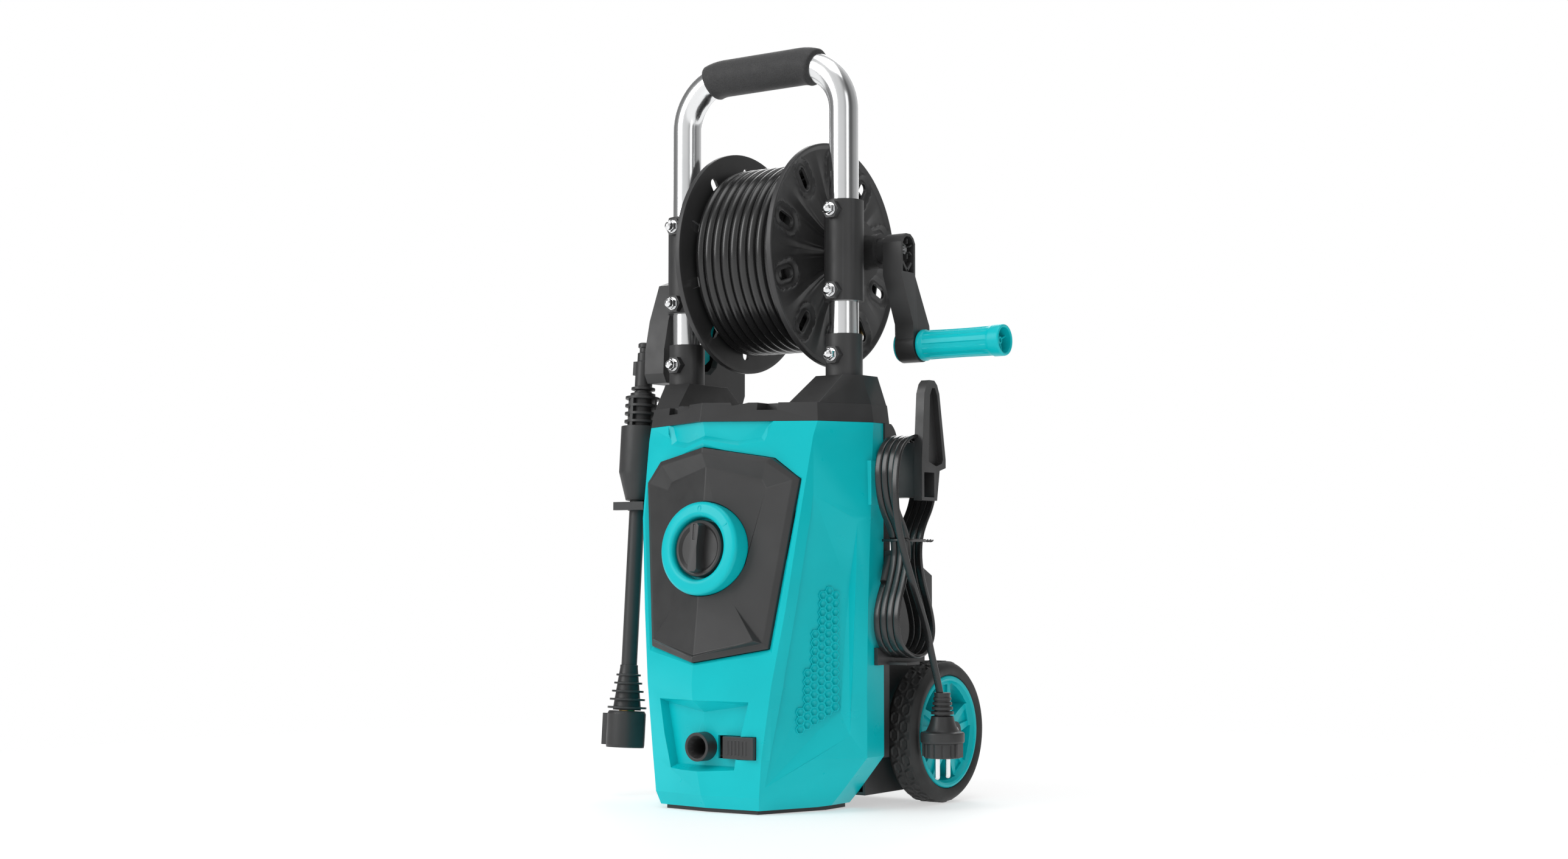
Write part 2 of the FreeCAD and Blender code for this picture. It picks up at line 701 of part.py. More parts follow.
def nut_boss(x, z, span):
    return prism("+Y", 15.5, 6, span[1] - span[0], (x, span[0], z))


node("tube_sockets", group(*[
    cut(fuse(cylinder("socket_outer / 2", "socket_top - tube_foot", (x, 0, "tube_foot"), "+Z"),
             nut_boss(x, "bolt_low", SOCKET_BOSS)),
        cylinder("tube_outer / 2", 120, (x, 0, "tube_foot - 5"), "+Z"),
        cylinder("bolt_size / 2 + 0.1", 70, (x, -35, "bolt_low"), "+Y"))
    for x in LEGS
]))

# Bracket plate, drawn as (depth, height) from the sleeve to the reel's axis.
BRACKET_PLATE = [
    (5, 476), (24, 484), (44, 497), (58, 507), (66, 519),
    (66, 532), (58, 543), (44, 552), (24, 561), (5, 566),
]


def bracket(side, name):
    x = LEGS[0] if side == LEFT else LEGS[1]
    inner = 84 if side == RIGHT else -92
    web = plate(BRACKET_PLATE, 8, (inner, 0, 0), SIDEWAYS)
    ring_at = (84 if side == RIGHT else -109, "reel_depth", "reel_height")
    ring = cylinder(16.8, 25, ring_at, "+X")
    bore_at = (-120 if side == LEFT else 70, "reel_depth", "reel_height")
    node("reel_bracket_" + name, cut(
        fuse(cylinder("bracket_outer / 2", "bracket_top - bracket_bottom", (x, 0, "bracket_bottom"), "+Z"),
             web, ring, nut_boss(x, "bolt_middle", BRACKET_BOSS), nut_boss(x, "bolt_high", BRACKET_BOSS)),
        cylinder("tube_outer / 2", 120, (x, 0, "bracket_bottom - 5"), "+Z"),
        cylinder("shaft_radius + running_gap", 60, bore_at, "+X"),
        *[cylinder("bolt_size / 2 + 0.1", 70, (x, -35, z), "+Y") for z in ("bolt_middle", "bolt_high")],
        *[cylinder(6, 12, (x, "bracket_outer / 2", z), "+Y") for z in ("bolt_middle", "bolt_high")],
    ))


bracket(LEFT, "left")
bracket(RIGHT, "right")


def nut_face(z):
    return SOCKET_BOSS[0] if z == "bolt_low" else BRACKET_BOSS[0]


def back_face(z):
    """Where a bolt's head bears on the back of its socket or bracket."""
    return "socket_outer / 2" if z == "bolt_low" else "bracket_outer / 2"


def bolt_length(z):
    return "%s - (%s) + 5" % (back_face(z), nut_face(z))


node("handle_bolts", group(*[
    fuse(cylinder("bolt_size / 2", bolt_length(z), (x, nut_face(z) - 5, z), "+Y"),
         cylinder(5.5, 4, (x, back_face(z), z), "+Y"))
    for x in LEGS for z in BOLT_HEIGHTS
]))
node("cap_nuts", group(*[
    cut(fuse(prism("+Y", 10, 6, 5, (x, nut_face(z) - 5.1, z)),
             ball(4.6, (x, nut_face(z) - 5.1, z)),
             cylinder(6.2, 0.8, (x, nut_face(z) - 0.9, z), "+Y")),
        cylinder("bolt_size / 2", 20, (x, nut_face(z) - 5, z), "+Y"))
    for x in LEGS for z in BOLT_HEIGHTS
]))

# ------------------------------------------------------------------ hose reel
REEL_AT = ("reel_depth", "reel_height")
winding_half = size("reel_half_width - flange_web - 3.2")
node("reel_drum", turned([
    (13, -47), (13, -50), ("core_radius - 0.2", -50), ("core_radius - 0.2", 50), (13, 50), (13, 47),
    ("core_radius - 0.2 - wall", 47), ("core_radius - 0.2 - wall", -47),
], (0, *REEL_AT), "+X"))

flange_profile = [
    ("shaft_radius + running_gap", 0), ("flange_radius", 0), ("flange_radius", 5.5),
    ("flange_radius - 3", 5.5), ("flange_radius - 3", "flange_web"), (62, "flange_web"), (40, 6),
    (26, 13), (18, 16), ("shaft_radius + running_gap", 16),
]


def flange(side, name):
    at = ("%d * (reel_half_width - 5.5)" % side, *REEL_AT)
    body = turned(flange_profile, at, "+X" if side == RIGHT else "-X")
    sketch = sketch_on(body, "XY_Plane")
    outline(sketch, [(74, -3), (77, -6), (91, -6), (94, -3), (94, 3), (91, 6), (77, 6), (74, 3)])
    slot = body.newObject("PartDesign::Pocket", "Slot")
    slot.Profile = sketch
    slot.Type = "Length"
    slot.Length = 40
    slot.Midplane = True
    pattern = body.newObject("PartDesign::PolarPattern", "Pattern")
    pattern.Originals = [slot]
    pattern.Axis = (sketch, ["N_Axis"])
    pattern.Angle = 360
    bind(pattern, "Occurrences", "flange_slots")
    body.Tip = pattern
    node("reel_flange_" + name, body)


flange(LEFT, "left")
flange(RIGHT, "right")
node("reel_shaft", cut(
    fuse(cylinder("shaft_radius", "crank_plane + 31", (-20, *REEL_AT), "+X"),
         cylinder("shaft_radius + 3", 2.6, (66.8, *REEL_AT), "+X")),
    cylinder(2.5, 16, ("crank_plane - 3", *REEL_AT), "+X"),
))
node("swivel_inlet", cut(
    fuse(cylinder("shaft_radius", 85, (-109, *REEL_AT), "+X"),
         cylinder("shaft_radius + 3", 14.3, (-83.7, *REEL_AT), "+X"),
         cylinder(6.5, 36, (-76.5, "reel_depth", "reel_height"), "+Y")),
    cylinder(4, 70, (-90, *REEL_AT), "+X"),
    cylinder(4, 40, (-76.5, "reel_depth", "reel_height"), "+Y"),
))

# The hose's winding: its outer shape, with the last part of the hose lifted on to it.
hose_radius = size("hose_size / 2")
outer_turn = size("core_radius") + hose_radius + 9
winding_ring = Part.makeCylinder(outer_turn + hose_radius, 2 * winding_half, Vector(0, 0, -winding_half))
winding_ring = winding_ring.cut(Part.makeCylinder(size("core_radius"), 120, Vector(0, 0, -60)))
tail_turn = outer_turn + 9.8
TAIL_START, TAIL_SWEEP, TAIL_SIDE = 50, 45, 38
tail_ring = Part.makeTorus(
    tail_turn, hose_radius, Vector(0, 0, TAIL_SIDE), Vector(0, 0, 1), -180, 180, TAIL_SWEEP
)
tail_ring.rotate(Vector(0, 0, 0), Vector(0, 0, 1), TAIL_START)
winding = feature(winding_ring.fuse(tail_ring))
winding.Placement = Placement(Vector(0, size("reel_depth"), size("reel_height")), towards("+X"))
node("hose_winding", winding)

# The fitting lies on the winding behind the reel, at the hose's end.
tail_angle = math.radians(TAIL_START)
fitting_at = (
    TAIL_SIDE, size("reel_depth") + tail_turn * math.sin(tail_angle),
    size("reel_height") - tail_turn * math.cos(tail_angle),
)
node("hose_fitting", turned([
    (2.5, 0), (5.4, 0), (5.9, 1.5), (5.9, 16), (5, 17.5), (5, 21), (6.4, 22), (6.4, 29), (2.5, 29),
], fitting_at, (0, -math.cos(tail_angle), -math.sin(tail_angle))))

# ------------------------------------------------------------------ crank
# The arm's side, drawn as (depth, height) from the reel's axis.
ARM_SIDE = [
    (-12.5, 6), (-9.5, 11), (-4, 14.5), (4, 14.5), (9.5, 11), (12.5, 6), (12.5, -25), (38, -70), (40, -86),
    (28, -88), (20, -88), (9, -84), (8.5, -70), (-12.5, -25),
]
arm = plate(ARM_SIDE, "crank_thickness", ("crank_plane", *REEL_AT), SIDEWAYS)
KNOB_AT = ("reel_depth + crank_offset", "reel_height - crank_drop")
arm_pocket = plate(
    [(-9.8, 5), (-7, 9.5), (-3, 11.8), (3, 11.8), (7, 9.5), (9.8, 5), (9.8, -22), (-9.8, -22)], 20,
    ("crank_plane + 13", *REEL_AT), SIDEWAYS,
)
node("crank_arm", cut(
    fuse(arm, cylinder("crank_ring", "crank_thickness", ("crank_plane", *KNOB_AT), "+X")),
    arm_pocket,
    cylinder("shaft_radius", 12, ("crank_plane - 1", *REEL_AT), "+X"),
    cylinder(2.6, 40, ("crank_plane - 1", *REEL_AT), "+X"),
    cylinder(8.05, 40, ("crank_plane - 5", *KNOB_AT), "+X"),
))
node("crank_screw", fuse(
    cylinder(2.4, 14, ("crank_plane - 0.9", *REEL_AT), "+X"),
    cylinder(4.6, 3.2, ("crank_plane + 13.1", *REEL_AT), "+X"),
))
knob_profile = [
    (0, -24), ("knob_radius", -24), ("knob_radius", -21.2), (8, -21.2), (8, 0), ("knob_radius - 1", 0),
    ("knob_radius", 1.5), ("knob_radius - 1.3", "knob_length - 1"), ("knob_radius - 2.3", "knob_length"),
    ("knob_radius - 3.6", "knob_length"), ("knob_radius - 3.6", "knob_length - 22"), (4, "knob_length - 22"),
    (4, "knob_length - 6"), (0, "knob_length - 6"),
]
node("crank_knob", turned(knob_profile, ("crank_plane + crank_thickness + 0.4", *KNOB_AT), "+X"))

# ------------------------------------------------------------------ cable hooks and gland
# The hook's blade, drawn as (depth, height): a tall cleat that narrows to its lower end.
HOOK_BLADE = [
    (14, 322), (19, 385), (23, 394), (28, 398), (37, 398), (42, 394), (46, 386), (57, 325), (57, 317),
    (46, 314), (41, 286), (14, 286),
]
HOOK_STEM = [(15, 289), (38, 289), (38, 310), (31, 318), (31, 336), (27, 338.5), (15, 339.5)]
HOOK_FOOT = [(8, 290), (43, 290), (43, 320), (39, 330), (30, 338), (12, 339), (4, 330), (4, 298)]
HOOK_POCKET = [(26, 322), (29, 384), (33, 391), (38, 391), (42, 384), (52, 325), (50, 321), (40, 318)]
node("cable_hook_upper", cut(
    fuse(plate(HOOK_BLADE, 9, (160, 0, 0), SIDEWAYS),
         plate(HOOK_STEM, 33, (127.2, 0, 0), SIDEWAYS),
         plate(HOOK_FOOT, 2, (127.2, 0, 0), SIDEWAYS)),
    plate(HOOK_POCKET, 20, (163, 0, 0), SIDEWAYS),
    box((150, 18, 289), (175, 36, 312)),
    cylinder(2.05, 10, (122, *HOOK_SCREW), "+X"),
))
node("cable_hook_lower", fuse(
    box(("shell_half_width + 0.3", 17.5, 136), (129.2, 27.5, 160)),
    box((125.4, 0, 134), (129.2, 27.5, 150)),
    box((125.4, 17.5, 134), (150, 40, 136.5)),
))
node("cable_gland", fuse(
    box((125.3, 17.5, 224), (134, 27.5, 240)),
    cone(6.1, 4.2, 26, (131.6, 20, 232), (1.7, -15, -22)),
))

# ------------------------------------------------------------------ mains cable
# The hank hangs on the upper hook: one closed loop, narrow at its tie, as (depth, height).
HANK_LOOP = [
    (18, 346), (1, 342), (-11, 331), (-16, 314), (-14, 294), (-7, 276), (5, 262), (12, 248), (12, 230),
    (4, 210), (-5, 192), (-8, 172), (-2, 154), (13, 144), (32, 141), (48, 148), (57, 163), (52, 184),
    (39, 208), (32, 230), (33, 250), (41, 265), (51, 280), (55, 298), (52, 320), (40, 338),
]


def parallel_loop(points, distance):
    """The corners of a closed polygon moved outwards by a distance."""
    moved = []
    for before, corner, after in zip(points[-1:] + points, points, points[1:] + points[:1]):
        inward, outward = (corner - before).normalize(), (after - corner).normalize()
        across = (inward + outward).normalize().cross(Vector(1, 0, 0))
        moved.append(corner + across * distance / math.cos(inward.getAngle(outward) / 2))
    return moved


def smooth_face(points):
    """A flat face inside one closed smooth curve that touches each side of a polygon."""
    curve = Part.BSplineCurve()
    curve.buildFromPoles(points, True, 2)
    return Part.Face(Part.Wire(curve.toShape()))


def hank_shape():
    """The loop as a band of the cable's thickness, as wide as its turns side by side."""
    points = [Vector(size("hank_inner_side"), y, z) for y, z in HANK_LOOP]
    half = size("cable_thickness / 2") + 0.2
    faces = [smooth_face(parallel_loop(points, distance)) for distance in (half, -half)]
    large, small = sorted(faces, key=lambda face: -face.Area)
    width = Vector(size("hank_width"), 0, 0)
    return large.extrude(width).cut(small.extrude(width * 1.2).translated(width * -0.1))


node("cord_hank", feature(hank_shape()))
# The free end: from the hank's front strand, across the tie and down to the plug.
FREE_CABLE = [
    (155, -17, 318), (159, -21.5, 298), (161.3, -20.5, 276), (161.8, -14, 251), (162.3, -2.5, 226),
    (163.3, 12, 198), (164.5, 27, 171), (165.6, 36, 142), (166.5, 45, 118), (167, 51, 98), (167, 52, 88),
]
node("power_cord", feature(tube_along([Vector(*point) for point in FREE_CABLE], size("cable_tube"))))
node("cable_tie", fuse(
    cut(box((128, 6.5, 247.5), (159, 39.5, 251)), box((129.3, 7.8, 240), (157.7, 38.2, 260))),
    box((150, 38.2, 246.5), (158, 43, 252)),
    box((153, 42, 248.4), (155.5, 58, 249.8)),
))

PLUG_AT = ("plug_side", "plug_depth")
PINS_AT = [("plug_side", "plug_depth %s pin_spacing / 2" % sign) for sign in "+-"]
PIN_ROOT = 2.0
relief_ribs = [cylinder(12.5, 2.6, (*PLUG_AT, z), "+Z") for z in (88.5, 93.5, 98.5, 103.5)]
node("plug_body", cut(
    fuse(cylinder(8, 22, (*PLUG_AT, 86), "+Z"),
         *relief_ribs,
         cone(17.5, 9.5, 17, (*PLUG_AT, 69), "+Z"),
         cylinder(20.5, 9.6, (*PLUG_AT, 62), "+Z"),
         cylinder(17.5, 15, (*PLUG_AT, 47.4), "+Z")),
    cylinder("cable_tube + 0.1", 24, (*PLUG_AT, 88), "+Z"),
    *[cylinder(PIN_ROOT, 12, (*at, 46), "+Z") for at in PINS_AT],
))
node("plug_pins", group(*[
    fuse(cylinder("pin_radius", 16.7, (*at, 30.5), "+Z"),
         cylinder(PIN_ROOT, 26, (*at, 31.5), "+Z"),
         ball("pin_radius", (*at, 30.5)))
    for at in PINS_AT
]))

# ------------------------------------------------------------------ spray gun
# Side of the gun, drawn as (depth, height), barrel down: its frame and the gap for the hand.
GUN_FRAME = [
    (15, 507), (30, 512), (96, 512), (116, 504), (122, 480), (120, 440), (130, 430), (130, 402),
    (122, 384), (92, 384), (82, 396), (70, 407), (-3, 407), (-8, 416), (-7, 440), (0, 470),
]
GUN_GAP = [
    (28, 498), (84, 498), (88, 488), (88, 448), (80, 428), (70, 420), (12, 420), (7, 428), (8, 440),
    (14, 466), (22, 492),
]
gun_side = ("gun_plane - gun_thickness / 2", 0, 0)
gun_frame = cut(
    plate(GUN_FRAME, "gun_thickness", gun_side, SIDEWAYS),
    plate(GUN_GAP, 60, ("gun_plane - 30", 0, 0), SIDEWAYS),
)
BARREL_DEPTH = 107
TRIGGER_PIVOT = (87, 480)
node("gun_body", cut(
    fuse(gun_frame,
         cylinder(11, 100, ("gun_plane", BARREL_DEPTH, 286), "+Z"),
         cylinder(13.5, 16, ("gun_plane", BARREL_DEPTH, 366), "+Z")),
    box((-132.5, 60, 424), (-123.5, 102, 490)),
    cylinder(7, 34, ("gun_plane", BARREL_DEPTH, 285), "+Z"),
    cylinder("2 + running_gap", 40, (-148, *TRIGGER_PIVOT), "+X"),
))
TRIGGER_SIDE = [
    (93, 484), (93, 476), (86, 468), (80, 450), (79, 436),
    (72, 431), (66, 436), (67, 452), (74, 478), (80, 486),
]
node("gun_trigger", fuse(
    plate(TRIGGER_SIDE, 8, (-132, 0, 0), SIDEWAYS), cylinder(2, 22, (-139, *TRIGGER_PIVOT), "+X"),
))
LOCK_PIVOT = (63.4, 439.5)
LOCK_SIDE = [(61.6, 439.5), (65.2, 439.5), (64.3, 428), (58, 424), (57, 428), (61, 431)]
node("gun_lock", fuse(
    plate(LOCK_SIDE, 7.4, (-131.7, 0, 0), SIDEWAYS), cylinder(2, 7.4, (-131.7, *LOCK_PIVOT), "+X"),
))
node("gun_coupling", cut(
    fuse(prism("+Z", 17, 6, 10, ("gun_plane", BARREL_DEPTH, 512.1)),
         cylinder(7.5, 22, ("gun_plane", BARREL_DEPTH, 512.1), "+Z")),
    cylinder(4, 40, ("gun_plane", BARREL_DEPTH, 510), "+Z"),
))
node("gun_holster", cut(
    fuse(cylinder(14.5, 62, ("gun_plane", BARREL_DEPTH, 282), "+Z"),
         plate([(-118, 96), (-118, 108.5), (-74.4, 108.5), (-80.7, 96)], 50, (0, 0, 288))),
    cylinder(11.4, 80, ("gun_plane", BARREL_DEPTH, 285), "+Z"),
))

# ------------------------------------------------------------------ lance
# The lance leans back; its pieces are turned about its own axis, from the nozzle's mouth up.
LANCE_FOOT = Vector(size("lance_side"), -20, 47)
LANCE_AXIS = Vector(0, 30, 400).normalize()
LANCE_TURN = Rotation(Vector(0, 0, 1), LANCE_AXIS)


def lance_at(height):
    return LANCE_FOOT + LANCE_AXIS * height


def on_lance(item, height=0):
    item.Placement = Placement(lance_at(height), LANCE_TURN)
    return item


def lance_turned(points):
    return on_lance(turned(points, (0, 0, 0)))


def lance_box(low, high):
    item = box(low, high)
    corner = LANCE_TURN.multVec(Vector(*low))
    item.Placement = Placement(LANCE_FOOT + corner, LANCE_TURN)
    return item


node("lance_tube", lance_turned([(5.5, 78), ("lance_radius", 78), ("lance_radius", 285), (5.5, 285)]))
lance_cage = lance_turned([
    (7.8, 244.2), (12, 244.2), (20, 272), (20, 318), (12.5, 319.5), (12.5, 352), (8.8, 353),
    (8.8, 354), (7.8, 354),
])
cage_ribs = [
    lance_turned([(12.4, h), (17.3, h), (17.3, h + 2.4), (12.4, h + 2.4)]) for h in (322, 330, 338, 346)
]
cage_bars = [lance_box((-17, -1.6, 318), (17, 1.6, 348)), lance_box((-1.6, -17, 318), (1.6, 17, 348))]
node("lance_grip", cut(
    fuse(lance_cage, *cage_ribs, *cage_bars),
    lance_turned([(0, 240), (7.8, 240), (7.8, 360), (0, 360)]),
))
node("lance_bayonet", cut(
    fuse(lance_turned([
        (0, 285.2), (7.7, 285.2), (7.7, 355), (12, 355.5), (12, 358), (8.8, 359), (8.8, 384),
        (7.4, 385), (7.4, 393), (5.6, 394), (5.6, 398), (7.2, 399), (7.2, 402.5), (6, 403.5), (0, 403.5),
    ]), lance_box((-11.5, -4, 371), (11.5, 4, 385))),
    on_lance(cylinder(3, 200, (0, 0, 0)), 280),
))
node("nozzle_cage", cut(
    fuse(lance_turned([(7.9, 36.5), (14, 36.5), (8.8, 78), (8.8, 81), (7.9, 81)]),
         *[lance_turned([(8, h), (19.2 - (h - 38) * 0.22, h), (19.2 - (h - 38) * 0.22, h + 2), (8, h + 2)])
           for h in (38, 46, 54, 62, 70)]),
    lance_turned([(0, 30), (7.9, 30), (7.9, 90), (0, 90)]),
))
node("nozzle_head", cut(
    fuse(lance_turned([(8, 0), (18.6, 0), (19, 3), (19, 33), (17.5, 35.8), (8, 35.8)]),
         lance_box((-28, -3.2, 2), (-15, 3.2, 33))),
    lance_turned([(0, -2), (7.92, -2), (7.92, 40), (0, 40)]),
))
node("nozzle_insert", lance_turned([(2, 1), (7.85, 1), (7.85, 60), (2, 60)]))
holder_arm = box((-160, 17.5, 273), (-125.3, 27.5, 289.2))
holder_fork = box((-172, -17, 281), (-134, 27, 289.2))
node("lance_holder", cut(
    fuse(holder_arm, holder_fork),
    on_lance(cylinder(8.3, 60, (0, 0, 0)), 215),
    box((-190, -10.6, 270), (-153, 6.3, 300)),
))

# ------------------------------------------------------------------ motor and pump
MOTOR_AT = (0, "motor_depth")
node("motor_case", cut(
    cylinder("motor_radius", 150, (*MOTOR_AT, 150), "+Z"),
    cylinder("motor_radius - 12", 138, (*MOTOR_AT, 156), "+Z"),
    cylinder("6 + running_gap", 200, (*MOTOR_AT, 140), "+Z"),
))
fan_turns = [Rotation(Vector(0, 0, 1), 40 * index + 5) for index in range(9)]
fan_blades = [box((3, -1.2, 305), (44, 1.2, 320), (0, size("motor_depth"), 0), turn) for turn in fan_turns]
wobble = cylinder(30, 8, (*MOTOR_AT, 106), "+Z")
wobble.Placement = Placement(Vector(0, size("motor_depth"), 106), Rotation(Vector(0, 1, 0), 6))
node("motor_rotor", fuse(
    cylinder(6, 204, (*MOTOR_AT, 118), "+Z"),
    cylinder(10, 22, (*MOTOR_AT, 108), "+Z"),
    cylinder(32, 116, (*MOTOR_AT, 165), "+Z"),
    cylinder(46, 2, (*MOTOR_AT, 304), "+Z"),
    *fan_blades, wobble,
))
PISTON_CIRCLE = 19
PISTON_ANGLES = [math.radians(angle) for angle in (90, 210, 330)]
piston_places = [
    (PISTON_CIRCLE * math.cos(angle), size("motor_depth") + PISTON_CIRCLE * math.sin(angle))
    for angle in PISTON_ANGLES
]
node("pump_head", cut(
    fuse(cylinder(45, 114.5, (*MOTOR_AT, 35), "+Z")),
    cylinder(39, 60, (*MOTOR_AT, 84), "+Z"),
    cylinder(10.5, 20, (*MOTOR_AT, 140), "+Z"),
    *[cylinder(8.05, 40, (x, y, 54), "+Z") for x, y in piston_places],
))
node("pump_pistons", group(*[
    fuse(cylinder(8, 38, (x, y, 56), "+Z"), cylinder(10, 3, (x, y, 94), "+Z")) for x, y in piston_places
]))
node("capacitor", cylinder(17, 74, (77, 20, 236), "+Z"))
SCREW_PLACES = [(x, z) for x in (-50, 50) for z in (165, 205, 262, 340)]


def case_screw(x, z):
    """A screw from the back: its head stands on the rear shell's outer face."""
    face = 146 if z < 228 else 110 + (358.5 - z) * 2 / 118.5
    return fuse(cylinder(2, 14, (x, face - 13.5, z), "+Y"), cylinder(4, 2.4, (x, face + 0.1, z), "+Y"))


node("case_screws", group(
    *[case_screw(x, z) for x, z in SCREW_PLACES],
    fuse(cylinder(2, 20, (110, *HOOK_SCREW), "+X"), cylinder(3.8, 1.8, (129.2, *HOOK_SCREW), "+X")),
))

# ------------------------------------------------------------------ check and write
doc.recompute()
for item in doc.Objects:
    if {"Invalid", "Error"} & set(item.State):
        raise RuntimeError("%s (%s) failed: %s" % (item.Name, item.Label, item.State))
os.makedirs("parts", exist_ok=True)
for item in nodes:
    shape = item.Shape
    if shape.isNull() or not shape.isValid() or shape.Volume <= 0:
        raise RuntimeError("%s has no valid solid" % item.Label)
    shape.exportStep("parts/%s.step" % item.Label)
print(len(nodes), "nodes")
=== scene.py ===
"""Looks of the pressure washer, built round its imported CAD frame.

Lengths are millimetres until a mesh is made.
"""

import json
import math

import bmesh
import bpy
from mathutils import Matrix, Vector
from mathutils.bvhtree import BVHTree


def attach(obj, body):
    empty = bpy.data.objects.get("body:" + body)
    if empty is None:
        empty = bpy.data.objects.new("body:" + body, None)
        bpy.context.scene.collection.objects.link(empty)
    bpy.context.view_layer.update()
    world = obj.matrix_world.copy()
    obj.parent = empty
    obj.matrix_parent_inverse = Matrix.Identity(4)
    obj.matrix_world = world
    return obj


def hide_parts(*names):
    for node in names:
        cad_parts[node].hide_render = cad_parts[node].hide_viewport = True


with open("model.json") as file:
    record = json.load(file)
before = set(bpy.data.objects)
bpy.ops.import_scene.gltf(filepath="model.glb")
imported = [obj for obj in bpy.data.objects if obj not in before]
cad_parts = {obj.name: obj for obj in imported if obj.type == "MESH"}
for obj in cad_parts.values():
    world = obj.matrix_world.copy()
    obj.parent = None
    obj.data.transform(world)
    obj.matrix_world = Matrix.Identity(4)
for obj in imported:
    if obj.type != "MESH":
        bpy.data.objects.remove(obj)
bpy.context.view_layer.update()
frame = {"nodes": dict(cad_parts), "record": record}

MM = 0.001
FULL_TURN = 2 * math.pi
SIDES = (1, -1)

# Driving places and sizes, as the CAD part has them.
REEL_AXIS = (40.9, 524.9)
AXLE_AXIS = (106.6, 67.4)
DIAL_CENTRE = Vector((0, -98.2, 241.3))
DIAL_LEAN = math.radians(5.65)
TUBE_SIDE = 92.7
PORT_HEIGHT = 60.3
KNOB_AT = (139.0, 65.0, 435.1)
PLUG_AXIS = (167, 52)


# ---------------------------------------------------------------- camera, light and floor
def add_camera():
    """The low three-quarter view, with a 50 mm lens on a 36 mm sensor."""
    turn, rise = math.radians(34.82), math.radians(3.59)
    data = bpy.data.cameras.new("camera")
    data.lens = 50
    data.sensor_width = 36
    data.clip_end = 60
    camera = bpy.data.objects.new("camera", data)
    camera.location = Vector((1209.24, -1704.22, 225.4)) * MM
    camera.rotation_euler = (math.pi / 2 + rise, 0, turn)
    bpy.context.scene.collection.objects.link(camera)
    bpy.context.scene.camera = camera


add_camera()


# ---------------------------------------------------------------- mesh helpers
def new_object(name, data):
    thing = bpy.data.objects.new(name, data)
    bpy.context.scene.collection.objects.link(thing)
    return thing


def ring_mesh(rings, caps=True, closed=False):
    """A mesh between rings of the same number of points, in order."""
    work = bmesh.new()
    rows = [[work.verts.new(point) for point in ring] for ring in rings]
    count = len(rows[0])
    pairs = list(zip(rows, rows[1:])) + ([(rows[-1], rows[0])] if closed else [])
    for lower, upper in pairs:
        for index in range(count):
            after = (index + 1) % count
            work.faces.new((lower[index], lower[after], upper[after], upper[index]))
    if caps and not closed:
        work.faces.new(rows[0][::-1])
        work.faces.new(rows[-1])
    bmesh.ops.recalc_face_normals(work, faces=work.faces)
    return work


def axis_matrix(origin, direction):
    """Places a shape made along +Z, so that it points in a direction from a point."""
    turn = Vector((0, 0, 1)).rotation_difference(Vector(direction)).to_matrix().to_4x4()
    return Matrix.Translation(Vector(origin)) @ turn


def turned(profile, origin, direction, steps=64, closed=False, shape=None):
    """A lathe from an outline of (radius, height). shape(radius, height, angle) may move a point."""
    rings = []
    for radius, height in profile:
        ring = []
        for step in range(steps):
            angle = FULL_TURN * step / steps
            r, h = shape(radius, height, angle) if shape else (radius, height)
            ring.append((r * math.cos(angle), r * math.sin(angle), h))
        rings.append(ring)
    work = ring_mesh(rings, caps=True, closed=closed)
    bmesh.ops.remove_doubles(work, verts=work.verts, dist=0.002)
    work.transform(axis_matrix(origin, direction))
    return work


def block(low, high, matrix=None):
    """A box between two corners."""
    (x0, y0, z0), (x1, y1, z1) = low, high
    rings = [[(x0, y0, z), (x1, y0, z), (x1, y1, z), (x0, y1, z)] for z in (z0, z1)]
    work = ring_mesh(rings)
    if matrix:
        work.transform(matrix)
    return work


def prism(outline, vector):
    """A flat outline of 3-D points, pushed along a vector."""
    moved = [Vector(point) + Vector(vector) for point in outline]
    return ring_mesh([[Vector(point) for point in outline], moved])


def joined(*works):
    """Several meshes in one, without a union."""
    whole = bmesh.new()
    for work in works:
        mesh = bpy.data.meshes.new("joined")
        work.to_mesh(mesh)
        work.free()
        whole.from_mesh(mesh)
        bpy.data.meshes.remove(mesh)
    return whole


def carved(base, tools, operation="DIFFERENCE"):
    """The base with each tool cut from it, or joined to it."""
    things = []
    for work in [base, *tools]:
        mesh = bpy.data.meshes.new("carved")
        work.to_mesh(mesh)
        work.free()
        things.append(new_object("carved", mesh))
    for tool in things[1:]:
        change = things[0].modifiers.new("Boolean", "BOOLEAN")
        change.operation = operation
        change.solver = "EXACT"
        change.object = tool
    bpy.context.view_layer.update()
    result = bmesh.new()
    result.from_object(things[0], bpy.context.evaluated_depsgraph_get())
    for thing in things:
        mesh = thing.data
        bpy.data.objects.remove(thing)
        bpy.data.meshes.remove(mesh)
    return result


def tidied(work, weld=0.05, flat=0.8):
    """Merges points that all but touch, and dissolves edges inside flat faces."""
    bmesh.ops.remove_doubles(work, verts=work.verts, dist=weld)
    bmesh.ops.dissolve_degenerate(work, edges=work.edges, dist=weld)
    bmesh.ops.dissolve_limit(
        work, angle_limit=math.radians(flat), verts=work.verts, edges=work.edges,
        use_dissolve_boundaries=False,
    )
    return work


def soften(thing, width, angle=30, segments=2):
    """Rounded edges and even shading."""
    bevel = thing.modifiers.new("Bevel", "BEVEL")
    bevel.width = width * MM
    bevel.segments = segments
    bevel.limit_method = "ANGLE"
    bevel.angle_limit = math.radians(angle)
    bevel.use_clamp_overlap = True
    bevel.harden_normals = False
    even = thing.modifiers.new("Normals", "WEIGHTED_NORMAL")
    even.keep_sharp = False
    even.weight = 80


